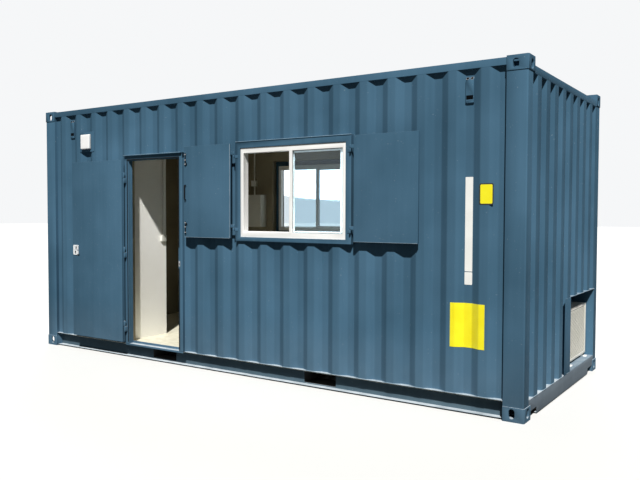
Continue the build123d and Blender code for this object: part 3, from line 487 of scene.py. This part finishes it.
def eased_step(share, ease):
    """Rises from 0 to 1 as share does, straight between, both ends rounded over the ease.

    Half of (root of share squared plus ease squared) less (the same of share less one) plus one.
    """
    return (np.sqrt(share ** 2 + ease ** 2) - np.sqrt((share - 1) ** 2 + ease ** 2) + 1) / 2


def wave_depth(along, wave):
    """How far in from its outer plane a corrugated sheet lies, at places along it.

    The distance from the nearest trough's middle is taken from half the trough's floor plus a
    slope, as a share of a slope; the depth is the eased step of that share times the wave's depth.
    """
    pitch = wave["pitch"]
    from_trough = np.abs((along - wave["shift"] + pitch / 2) % pitch - pitch / 2)
    share = (wave["trough"] / 2 + wave["slope"] - from_trough) / wave["slope"]
    return wave["depth"] * eased_step(share, wave["ease"])


def fold_columns(low, high, wave):
    """Places along a sheet from low to high: close together over each fold, one in each flat."""
    pitch = wave["pitch"]
    first = np.floor((low - wave["shift"]) / pitch) - 1
    last = np.ceil((high - wave["shift"]) / pitch) + 2
    numbers = np.arange(first, last)
    share = np.concatenate([np.linspace(-0.28, 0.20, 8), [0.5], np.linspace(0.80, 1.28, 8)])
    reach = wave["trough"] / 2 + wave["slope"] * (1 - share)
    steps = np.concatenate([-reach, [0.0], reach[::-1], [pitch / 2]])
    places = (wave["shift"] + pitch * numbers[:, None] + steps[None, :]).ravel()
    inside = places[(places > low + 0.002) & (places < high - 0.002)]
    return np.concatenate([[low], inside, [high]])


def on_wall(along, depth, up, plane, end):
    """Points of a wall: along it, in from its outer plane, and up. end says an end wall."""
    across = plane - depth
    return np.stack([across, along, up] if end else [along, -across, up], axis=-1)


def wall_sheet(span, plane, wave, end=False, back=False):
    """Outer skin of a pressed sheet over span, which is low and high along it and up it.

    Its depth is the wave, plus a sag of under a millimetre between its welded top and bottom,
    a sine along the wall times a parabola up it, as thin sheet has.
    """
    low, high, bottom, top = span
    columns = fold_columns(low, high, wave)
    share = np.linspace(0, 1, wall_rows)
    along, up = np.meshgrid(columns, share)
    sag = wall_sag * np.sin(along * 7.3 + 2.1 * np.sin(up * 5.0 + along)) * 4 * up * (1 - up)
    depth = wave_depth(along, wave) + np.abs(sag)
    points = on_wall(along, depth, bottom + up * (top - bottom), plane, end).reshape(-1, 3)
    shape = points, [grid_faces(wall_rows, len(columns))]
    return turned(shape) if back else shape


def thicken(made, thickness):
    """Gives an outer skin its sheet's thickness, inwards, with closed edges that stay crisp.

    Faces that meet at less than 28 degrees shade as one round surface.
    """
    solid = made.modifiers.new("sheet", "SOLIDIFY")
    solid.thickness = thickness
    solid.offset = -1
    shown = made.evaluated_get(bpy.context.evaluated_depsgraph_get())
    mesh = bpy.data.meshes.new_from_object(shown)
    made.modifiers.clear()
    made.data = mesh
    mesh.shade_smooth()
    mesh.set_sharp_from_angle(angle=radians(28))


def wall(node, spans, plane, wave, end=False, back=False):
    """Corrugated wall that stands for a CAD node, of one sheet for each span."""
    shape = joined([wall_sheet(span, plane, wave, end, back) for span in spans])
    made = piece(node + "_sheet", shape, blue_enamel, stands_for=[node])
    thicken(made, sheet_thickness)


left_wall_low, left_wall_high = limits("front_wall_left")
side_plane = -left_wall_low[1]
sill_z = left_wall_low[2]
rail_z = left_wall_high[2]
end_wall_low, end_wall_high = limits("left_end_wall")
end_plane = -end_wall_low[0]
end_rail_z = end_wall_high[2]
window_low, window_high = limits("window_surrounds", axis=1, sign=-1)
back_window_low, back_window_high = limits("window_surrounds", axis=1, sign=1)
over_recess_low, over_recess_high = limits("right_end_wall_over_recess")


def build_walls():
    """All corrugated sheets. Spans on the back and left walls are measured turned half round."""
    for node in ("front_wall_left", "front_wall_over_door", "front_wall_middle",
                 "front_wall_right"):
        low, high = limits(node)
        wall(node, [(low[0], high[0], low[2], high[2])], side_plane, side_wave)
    strips = [(window_low[0], window_high[0], sill_z, window_low[2]),
              (window_low[0], window_high[0], window_high[2], rail_z)]
    wall("front_wall_window_strips", strips, side_plane, side_wave)
    low, high = -back_window_high[0], -back_window_low[0]
    strips = [(low, high, sill_z, back_window_low[2]), (low, high, back_window_high[2], rail_z)]
    wall("back_wall_window_strips", strips, side_plane, side_wave, back=True)
    edge = -limits("back_wall_panels")[0][0]
    panels = [(-edge, low, sill_z, rail_z), (high, edge, sill_z, rail_z)]
    wall("back_wall_panels", panels, side_plane, side_wave, back=True)

    wall("left_end_wall", [(end_wall_low[1], end_wall_high[1], sill_z, end_rail_z)],
         end_plane, end_wave, end=True, back=True)
    low, high = limits("right_end_wall")
    wall("right_end_wall", [(low[1], high[1], sill_z, end_rail_z)], end_plane, end_wave, end=True)
    low, high = over_recess_low, over_recess_high
    wall("right_end_wall_over_recess", [(low[1], high[1], low[2], end_rail_z)],
         end_plane, end_wave, end=True)


def build_roof():
    """Roof sheet: swages across it, and its corners cut out round the castings.

    A swage rises by the lesser of two eased steps, one in from its sides and one in from its ends;
    the whole sags by a parabola across the roof times a sine along it.
    """
    low, high = limits("roof")
    notch_x = limits("corner_fittings", axis=0, sign=1)[0][0]
    notch_y = -limits("top_end_rails")[0][1]
    flat_z = high[2] - swage_height
    half_width = high[1]
    count = int((notch_x - swage_width) / swage_pitch)
    share = np.concatenate([np.linspace(-0.5, 0.3, 5), np.linspace(0.7, 1.5, 5)])
    reach = swage_width / 2 - share * swage_height
    centres = swage_pitch * np.arange(-count, count + 1)
    columns = (centres[:, None] + np.concatenate([-reach, [0.0], reach[::-1]])[None, :]).ravel()
    columns = np.concatenate([[low[0], -notch_x], columns, [notch_x, high[0]]])
    end_reach = half_width - swage_margin - share * swage_height
    inner_rows = np.linspace(-0.95, 0.95, 9) * end_reach.min()
    rows = np.sort(np.concatenate([[-half_width, half_width, -notch_y, notch_y],
                                   -end_reach, inner_rows, end_reach]))
    x, y = np.meshgrid(columns, rows)
    from_swage = np.abs((x + swage_pitch / 2) % swage_pitch - swage_pitch / 2)
    from_swage = np.where(np.abs(x) > (count + 0.5) * swage_pitch, swage_pitch, from_swage)
    side_share = (swage_width / 2 - from_swage) / swage_height
    end_share = (half_width - swage_margin - np.abs(y)) / swage_height
    rise = swage_height * np.minimum(eased_step(side_share, swage_ease),
                                     eased_step(end_share, swage_ease))
    sag = roof_sag * (1 - (y / half_width) ** 2) * (0.5 + 0.5 * np.sin(x * 4.1))
    points = np.stack([x, y, flat_z + rise - sag], axis=-1).reshape(-1, 3)
    faces = grid_faces(len(rows), len(columns))
    middle = points[faces].mean(axis=1)
    kept = ~((np.abs(middle[:, 0]) > notch_x) & (np.abs(middle[:, 1]) > notch_y))
    made = piece("roof_sheet", (points, [faces[kept]]), roof_enamel,
                 stands_for=["roof"])
    thicken(made, sheet_thickness)


build_walls()
build_roof()


# Frame: castings, posts and rails

web_plane = -limits("floor_cross_members")[0][1]
trough_plane = side_plane - side_wave["depth"]


def set_back(out):
    """Depths of a base rail: its web, and all that meets it, stands further in."""
    in_web = (out > web_plane - 0.002) & (out < web_plane + 0.010)
    return np.where(in_web, out - web_set_back, out)


def shallow(out):
    """Depths of a ventilator: a share of its own, measured from the trough's floor."""
    return trough_plane + vent_depth_share * (out - trough_plane)


# What the blue enamel covers, with the width of each one's rounded edges
enamel_rounds = {
    "corner_fittings": 0.003, "top_side_rails": 0.005, "top_end_rails": 0.0035,
    "corner_posts": 0.002, "door_jambs": 0.0012, "door_head": 0.0012, "door_threshold": 0.0012,
    "door_leaf": 0.001, "window_surrounds": 0.0018, "shutter_left": 0.001, "shutter_right": 0.001,
    "light_plate": 0.001, "door_hinge_pins": 0.001, "door_hinge_knuckles": 0.001,
    "shutter_hinge_pins": 0.001, "left_shutter_knuckles": 0.001, "right_shutter_knuckles": 0.001,
}
for node, width in enamel_rounds.items():
    softened(node, width, blue_enamel)
softened("bottom_side_rails", 0.0015, splashed_enamel, depths=set_back)
softened("bottom_end_rails", 0.0015, dusty_enamel)
softened("recess_liner", 0.0012, recess_enamel)
softened("vents", 0.003, blue_enamel, depths=shallow)
for node in ("floor_cross_members", "fork_pockets"):
    softened(node, 0.0012, chassis_black, depths=set_back)


def sill_bead(span, height, plane, wave, end=False, back=False):
    """Weld bead at a sheet's foot or head: a round bar along the wave, just outside its skin."""
    radius, outside = 0.0038, 0.0012
    columns = fold_columns(*span, wave)
    heights = np.full(len(columns), height)
    path = on_wall(columns, wave_depth(columns, wave) - outside, heights, plane, end)
    shape = tube(path, radius, (0, 0, 1))
    return turned(shape) if back else shape


def build_weld_beads():
    """Painted beads where the sheets stand on the rails, over the recess and over both windows,
    pale with dust and a painted highlight.
    """
    short, rise = 0.003, 0.001
    foot = sill_z + rise
    front = [limits(node) for node in ("front_wall_left", "front_wall_middle", "front_wall_right")]
    spans = [(low[0] + short, high[0] - short) for low, high in front]
    spans.append((window_low[0], window_high[0]))
    beads = [sill_bead(span, foot, side_plane, side_wave) for span in spans]
    edge = left_wall_low[0] + short
    beads.append(sill_bead((edge, -edge), foot, side_plane, side_wave, back=True))
    low, high = limits("right_end_wall")
    beads.append(sill_bead((low[1] + short, high[1] - short), foot, end_plane, end_wave, end=True))
    beads.append(sill_bead((over_recess_low[1] + short, over_recess_high[1] - short),
                           over_recess_low[2] + rise, end_plane, end_wave, end=True))
    beads.append(sill_bead((end_wall_low[1] + short, end_wall_high[1] - short), foot, end_plane,
                           end_wave, end=True, back=True))
    piece("sill_weld_beads", joined(beads), bead_enamel_highlit, smooth=60.0)
    radius, surround_reach = 0.003, 0.025
    face, head = side_plane + surround_reach, window_high[2] - rise
    front = bar((window_low[0], -face, head), (window_high[0], -face, head), radius)
    rear = bar((back_window_low[0], face, head), (back_window_high[0], face, head), radius)
    piece("surround_beads", joined([front, rear]), bead_enamel_highlit)


build_weld_beads()


def build_highlight_lips():
    """Thin rolled lips in the pale bead enamel, a painted highlight along these edges: under both
    shutters, up the left one, along the door head.
    """
    radius, short, sunk = 0.002, 0.004, 0.001
    low, high = limits("shutter_left")
    out, foot = low[1] + 0.0015, low[2] + sunk
    under = bar((low[0] + short, out, foot), (high[0] - short, out, foot), radius)
    side = high[0] - sunk
    upright = bar((side, out, low[2] + short), (side, out, high[2] - short), radius)
    piece("left_shutter_highlight_lips", joined([under, upright]), bead_enamel_highlit,
          body="shutter_l")
    low, high = limits("shutter_right")
    under = bar((low[0] + short, out, foot), (high[0] - short, out, foot), radius)
    piece("right_shutter_highlight_lip", under, bead_enamel_highlit, body="shutter_r")
    low, high = limits("door_head")
    edge = (low[1] + radius, high[2] - sunk)
    piece("door_head_highlight_lip", bar((low[0] + short, *edge), (high[0] - short, *edge), radius),
          bead_enamel_highlit)


build_highlight_lips()


# Linings, floor and what stands in the room

for node in ("side_lining_panels", "side_lining_strips", "end_linings", "end_lining_over_recess",
             "recess_boxing"):
    softened(node, 0.0015, beige_facing_and_room_shade)
for node in ("ceiling", "partition"):
    softened(node, 0.0015, panel_facing)
softened("floor", 0.001, sheet_vinyl)
softened("distribution_board", 0.001, board_enamel)
softened("conduits", 0.002, electrical_plastic)


# Window frames, sashes and glass

softened("window_frames", 0.002, white_powder_coat)
softened("window_sashes", 0.0015, white_powder_coat)
for slot in nodes["window_glass"].material_slots:
    slot.material = clear_glass


# Condenser

softened("condenser_casing", 0.0015, cream_powder_coat)
softened("condenser_grille", 0.0006, cream_powder_coat)


def build_condenser_trim():
    """Face of the coil behind the grille's fins, and white pads on the feet before the casing."""
    low, high = limits("condenser_grille")
    back_gap, coil_depth, side_gap = 0.0005, 0.002, 0.008
    coil = boxes([(low[0] + back_gap, low[0] + back_gap + coil_depth,
                   low[1] + side_gap, high[1] - side_gap, low[2], high[2])])
    piece("condenser_coil", coil, coil_fins)
    low, high = limits("condenser_casing")
    foot_width, pad_reach, pad_top, edge_round = 0.060, 0.036, 0.012, 0.003
    pad = [(0.0, 0.0), (0.0, pad_top - edge_round), (edge_round, pad_top)]
    pads = [pressed((high[0] + pad_reach / 2, y, low[2]), pad_reach, foot_width, 0.008, pad, "+z")
            for y in (low[1] + 1.5 * foot_width, high[1] - 1.5 * foot_width)]
    piece("condenser_foot_pads", joined(pads), opal_cover)


build_condenser_trim()


# Door lock

softened("door_lock", 0.001, chrome)


# Lamp

def build_lamp():
    """Bulkhead lamp: grey tray against its plate, milk-white cover with a soft shoulder.

    The shoulder is a quarter circle from the cover's side over to its face.
    """
    tray_depth, rim, shoulder, inset, face_inset = 0.012, 0.010, 0.009, 0.003, 0.045
    screw_radius, from_edge, from_middle = 0.003, 0.004, 0.05
    low, high = limits("light_fitting")
    width, height = high[0] - low[0], high[2] - low[2]
    centre = np.array([(low[0] + high[0]) / 2, high[1], (low[2] + high[2]) / 2])
    depth = high[1] - low[1]
    tray = [(0.001, 0.0), (0.0, 0.002), (0.0, rim), (0.002, tray_depth)]
    piece("lamp_tray", pressed(centre, width, height, 0.010, tray), grey_plastic)
    round_over = [(inset + shoulder * (1 - np.cos(a)), depth - shoulder * (1 - np.sin(a)))
                  for a in np.linspace(0, np.pi / 2, 7)]
    cover = [(inset, rim), *round_over, (face_inset, depth)]
    piece("lamp_cover", pressed(centre, width, height, 0.014, cover), opal_cover,
          smooth=40.0, stands_for=["light_fitting"])
    screws = [dome(centre + (x, -tray_depth, z), screw_radius, screw_radius / 2)
              for x in (from_edge - width / 2, width / 2 - from_edge)
              for z in (-from_middle, from_middle)]
    piece("lamp_screws", joined(screws), zinc_plate)


build_lamp()


# Ventilators

def build_vent_fittings():
    """On each ventilator: two breather holes with collars in its sloped top, a meshed mouth below;
    holes and mouth are black, which paints the shade inside them.

    A collar is a short bar square to the slope, sunk in it, and its hole a thinner and longer one.
    """
    spread, sunk = 0.019, 0.002
    collar_radius, collar_length, hole_radius, hole_length = 0.0135, 0.005, 0.0100, 0.0055
    mouth_half, mouth_foot, mouth_head = 0.0295, 0.0365, 0.0685
    mouth_front, mouth_back = 0.0012, 0.0042
    collars, holes, mouths = [], [], []
    for sign in (-1, 1):
        low, high = limits("vents", axis=0, sign=sign)
        middle = (low[0] + high[0]) / 2
        face = shallow(-low[1])
        outwards = np.array([0.0, -vent_slope_drop, face - trough_plane])
        outwards /= np.linalg.norm(outwards)
        for x in (middle - spread, middle + spread):
            on_slope = np.array([x, -(trough_plane + face) / 2, high[2] - vent_slope_drop / 2])
            seat = on_slope - sunk * outwards
            collars.append(bar(seat, seat + collar_length * outwards, collar_radius, 16))
            holes.append(bar(seat, seat + hole_length * outwards, hole_radius, 16))
        mouths.append((middle - mouth_half, middle + mouth_half, mouth_front - face,
                       mouth_back - face, low[2] + mouth_foot, low[2] + mouth_head))
    piece("vent_collars", joined(collars), zinc_plate)
    piece("vent_holes", joined([*holes, boxes(mouths)]), black_mesh_and_hole_shade)


build_vent_fittings()


# Shutter bolts

def build_shutter_bolts():
    """Two tower bolts and a pull on the left shutter's inner face.

    Each bolt is a plate with three keepers over a round rod, and a handle that leans out sideways;
    the pull is a round bar bent to a D, a straight grip between two quarter circles.
    """
    bolt_length, keeper_places, handle_place = 0.132, (0.018, 0.075, 0.118), 0.090
    keeper_half_width, keeper_half_height, lean = 0.010, 0.006, 0.024
    rod_radius, rod_sides, foot_half_height = 0.006, 10, 0.014
    low, high = limits("shutter_bolts")
    face = high[1]
    plate_y = face - 0.003
    rod_y = face - 0.0085
    middle = (low[0] + high[0]) / 2
    plates, keepers, rods, handles = [], [], [], []
    for outer, along in ((low[2], 1), (high[2], -1)):
        inner = outer + along * bolt_length
        plates.append((low[0], high[0], plate_y, face, min(outer, inner), max(outer, inner)))
        for place in keeper_places:
            at = outer + along * place
            keepers.append((middle - keeper_half_width, middle + keeper_half_width,
                            low[1] - 0.001, plate_y + 0.001,
                            at - keeper_half_height, at + keeper_half_height))
        root = np.array([middle, rod_y, outer + along * handle_place])
        rods.append(bar((middle, rod_y, outer), (middle, rod_y, inner), rod_radius, rod_sides))
        handles.append(bar(root, root + (lean, -lean / 4, along * lean), rod_radius, rod_sides))
    pull_low, pull_high = low[2] + 0.362, low[2] + 0.512
    for end in (pull_low, pull_high):
        plates.append((low[0], high[0], plate_y, face,
                       end - foot_half_height, end + foot_half_height))
    reach, bend = 0.020, 0.012
    bottom_bend = [(middle, plate_y - reach + bend * (1 - np.sin(a)),
                    pull_low + bend * (1 - np.cos(a))) for a in np.linspace(0, np.pi / 2, 6)]
    top_bend = [(x, y, pull_high + pull_low - z) for x, y, z in bottom_bend[::-1]]
    path = [(middle, face, pull_low), *bottom_bend, *top_bend, (middle, face, pull_high)]
    pull = tube(path, rod_radius, (1, 0, 0), rod_sides)
    piece("shutter_bolt_plates", boxes(plates), blue_enamel,
          body="shutter_l", stands_for=["shutter_bolts"])
    piece("shutter_bolt_keepers", boxes(keepers), zinc_plate, body="shutter_l")
    piece("shutter_handles", joined([*rods, *handles, pull]), black_steel,
          body="shutter_l")


build_shutter_bolts()


# Rim lock plate, striker, seals and screws round the doorway

def build_door_fittings():
    """Pale lock plate under the lever, striker on the jamb, rubber seal round the doorway."""
    lock_low, lock_high = limits("door_lock")
    leaf_low = limits("door_leaf")[0]
    jamb_low, jamb_high = limits("door_jambs")
    lock_z = (lock_low[2] + lock_high[2]) / 2
    lock_from_edge, case_width, case_height, case_depth = 0.060, 0.096, 0.118, 0.004
    centre = np.array([leaf_low[0] + lock_from_edge, leaf_low[1], lock_z])
    case = [(0.0, 0.0), (0.0, case_depth - 0.001), (0.001, case_depth)]
    thin = [(0.0, 0.0), (0.0, 0.001)]
    piece("lock_case", pressed(centre, case_width, case_height, 0.010, case), lock_zinc,
          body="door")
    slots = [pressed(centre + (x, -0.0035, z), 0.018, 0.034, 0.006, thin)
             for x, z in ((-0.006, -0.028), (0.006, 0.026))]
    slots.append(pressed(centre + (0.038, -0.0035, -0.012), 0.018, 0.092, 0.003, thin))
    piece("lock_slots", joined(slots), black_rubber, body="door")
    screws = [dome(centre + (x, -case_depth, z), 0.004, 0.0015)
              for x in (-0.040, 0.028) for z in (-0.050, 0.050)]
    piece("lock_screws", joined(screws), zinc_plate, body="door")

    jamb_width, striker_from_edge, striker_z = 0.060, 0.014, 1.110
    face = jamb_low[1]
    left, right = jamb_low[0] + jamb_width, jamb_high[0] - jamb_width
    striker = np.array([right + striker_from_edge, face, striker_z])
    piece("striker_plate", pressed(striker, 0.022, 0.058, 0.003, [(0.0, 0.0), (0.0, 0.002)]),
          zinc_plate)
    # The striker's hole is a black mark: painted shade inside it
    piece("striker_hole", pressed(striker - (0, 0.0015, 0.004), 0.010, 0.020, 0.002, thin),
          black_mesh_and_hole_shade)

    # On the lock's side the seal stops under the striker and goes on above the lock
    strip, proud, gap = 0.010, 0.005, 0.006
    over_threshold, under_striker, over_lock = 0.02, 0.05, 0.075
    seal_left, seal_right = left - gap - strip, right + gap + strip
    foot, head = jamb_low[2] + over_threshold, limits("door_head")[0][2] + gap
    spans = [(seal_left, left - gap, face - proud, face, foot, head),
             (right + gap, seal_right, face - proud, face, foot, striker_z - under_striker),
             (right + gap, seal_right, face - proud, face, lock_z + over_lock, head),
             (seal_left, seal_right, face - proud, face, head, head + strip)]
    piece("door_seal", boxes(spans), black_rubber)


build_door_fittings()


# Window trim

def build_window_trim():
    """Black glazing gaskets round the fixed panes and both tracks' inner lip, in each window.

    The back window's are the front one's shapes turned half round.
    """
    from_middle, to_jamb, frame_width = 0.018, 0.582, 0.052
    strip, lip_depth, lip_height, tracks = 0.005, 0.003, 0.008, (0.012, 0.048)
    low, high = limits("window_frames", axis=1, sign=-1)
    back_low, back_high = limits("window_frames", axis=1, sign=1)
    pane_y = low[1] + 0.014
    front = pane_y - 0.003
    bottom, top = low[2] + frame_width, high[2] - frame_width
    gaskets, lips = [], []
    front_middle, back_middle = (low[0] + high[0]) / 2, -(back_low[0] + back_high[0]) / 2
    for back, middle in ((False, front_middle), (True, back_middle)):
        start, end = middle + from_middle, middle + to_jamb
        gasket = boxes([(start, start + strip, front, pane_y, bottom, top),
                        (end - strip, end, front, pane_y, bottom, top),
                        (start + strip, end - strip, front, pane_y, bottom, bottom + strip),
                        (start + strip, end - strip, front, pane_y, top - strip, top)])
        lip = boxes([(middle - to_jamb, middle - from_middle, low[1] + track,
                      low[1] + track + lip_depth, bottom, bottom + lip_height)
                     for track in tracks])
        gaskets.append(turned(gasket) if back else gasket)
        lips.append(turned(lip) if back else lip)
    piece("glazing_gaskets", joined(gaskets), black_rubber)
    piece("sash_tracks", joined(lips), white_powder_coat)


build_window_trim()


# Signs, all bare

def build_signs():
    """Bare signs at the right of the front wall: a small plate with a border, a strip and a film.

    The film is large and follows the sheet: y = wave depth at x, just outside the skin.
    """
    thickness = 0.0012
    plate = [(0.0, 0.0), (0.0, thickness)]
    small = np.array([2.6975, -side_plane, 1.813])
    piece("small_sign_border", pressed(small, 0.119, 0.172, 0.014, plate), sign_black)
    field = small - (0, thickness, 0)
    piece("small_sign_field", pressed(field, 0.101, 0.154, 0.009, [(0.0, 0.0), (0.0, 0.0005)]),
          sign_yellow)
    trough_x = 9 * side_wave["pitch"]
    piece("number_strip", pressed((trough_x, -trough_plane, 1.5675), 0.065, 0.775, 0.002, plate),
          sign_white)
    piece("number_square", pressed((trough_x, -trough_plane, 1.122), 0.066, 0.104, 0.006, plate),
          sign_white)

    low_x, high_x, low_z, high_z = 2.395, 2.693, 0.55, 0.918
    columns, rows = fold_columns(low_x, high_x, side_wave), np.linspace(low_z, high_z, 9)
    x, z = np.meshgrid(columns, rows)
    y = wave_depth(x, side_wave) - side_plane - 0.0015
    points = np.stack([x, y, z], axis=-1).reshape(-1, 3)
    shape = points, [grid_faces(len(rows), len(columns))]
    thicken(piece("large_sign", shape, sign_yellow), thickness)


build_signs()


# Studio: floor, sky, sun and camera

def looked_at(tree):
    """Output that is one for what the camera, a gloss or a pane looks at, and nought for light."""
    rays = add_node(tree, "LightPath").outputs
    seen = add_node(tree, "Math", {0: rays["Is Camera Ray"], 1: rays["Is Glossy Ray"]},
                    operation="MAXIMUM")
    shown = add_node(tree, "Math", {0: seen.outputs[0], 1: rays["Is Transmission Ray"]},
                     operation="MAXIMUM")
    return shown.outputs[0]


def build_floor():
    """Wide pale floor that takes the cabin's shadow; its paleness is for what looks at it."""
    made, tree, surface = surface_of("pale_studio_floor",
                                     {"Roughness": 0.9, "Specular IOR Level": 0.0})
    tone = add_node(tree, "Mix", {0: looked_at(tree)},
                    {6: (0.12, 0.12, 0.117, 1.0), 7: (0.80, 0.80, 0.79, 1.0)}, data_type="RGBA")
    tree.links.new(tone.outputs[2], surface.inputs["Base Color"])
    reach = 90.0
    mesh = bpy.data.meshes.new("studio_floor")
    corners = [(-reach, -reach, 0), (reach, -reach, 0), (reach, reach, 0), (-reach, reach, 0)]
    mesh.from_pydata(corners, [], [(0, 1, 2, 3)])
    mesh.materials.append(made)
    floor = in_scene("studio_floor", mesh)


def build_sky():
    """Even soft light from all round; what looks at it sees a pale backdrop."""
    world = bpy.data.worlds.new("studio_sky")
    bpy.context.scene.world = world
    world.use_nodes = True
    tree = world.node_tree
    tree.nodes.clear()
    soft = add_node(tree, "Background", values={"Color": (0.86, 0.94, 1.0, 1.0), "Strength": 0.085})
    pale = add_node(tree, "Background", values={"Color": (0.92, 0.93, 0.94, 1.0), "Strength": 1.0})
    mixed = add_node(tree, "MixShader",
                     {0: looked_at(tree), 1: soft.outputs[0], 2: pale.outputs[0]})
    add_node(tree, "OutputWorld", {"Surface": mixed.outputs[0]})


def build_lamp_far_off(name, towards, energy, spread, colour):
    """A lamp far off in a direction, its light as wide as spread in degrees."""
    lamp = bpy.data.lights.new(name, "SUN")
    lamp.energy = energy
    lamp.angle = radians(spread)
    lamp.color = colour
    made = in_scene(name, lamp)
    made.rotation_mode = "QUATERNION"
    made.rotation_quaternion = Vector(towards).to_track_quat("Z", "Y")


def build_camera():
    """Camera at the photograph's place: at eye height, off the right-hand front corner.

    Its place, turns and lens come from a fit to twelve corners of the container.
    """
    lens = bpy.data.cameras.new("camera")
    lens.sensor_width = 36.0
    lens.lens = 39.72
    camera = in_scene("camera", lens)
    place = (4.7437, -6.6764, 1.6538)
    bearing, tilt, roll = 0.5893, radians(90) - 0.0377, 0.0029
    turn = Matrix.Rotation(bearing, 4, "Z") @ Matrix.Rotation(tilt, 4, "X")
    camera.matrix_world = Matrix.Translation(place) @ turn @ Matrix.Rotation(roll, 4, "Z")
    bpy.context.scene.camera = camera


build_floor()
build_sky()
# The key light is high on the right of the front; a wide soft one fills the back and left end
build_lamp_far_off("key_lamp", (0.349, -0.563, 0.749), 4.9, 2.0, (1.0, 0.985, 0.955))
build_lamp_far_off("fill_lamp", (-0.48, 0.76, 0.44), 1.9, 50.0, (0.95, 0.98, 1.0))
build_camera()
bpy.context.scene.view_settings.view_transform = "Standard"

bpy.context.view_layer.update()
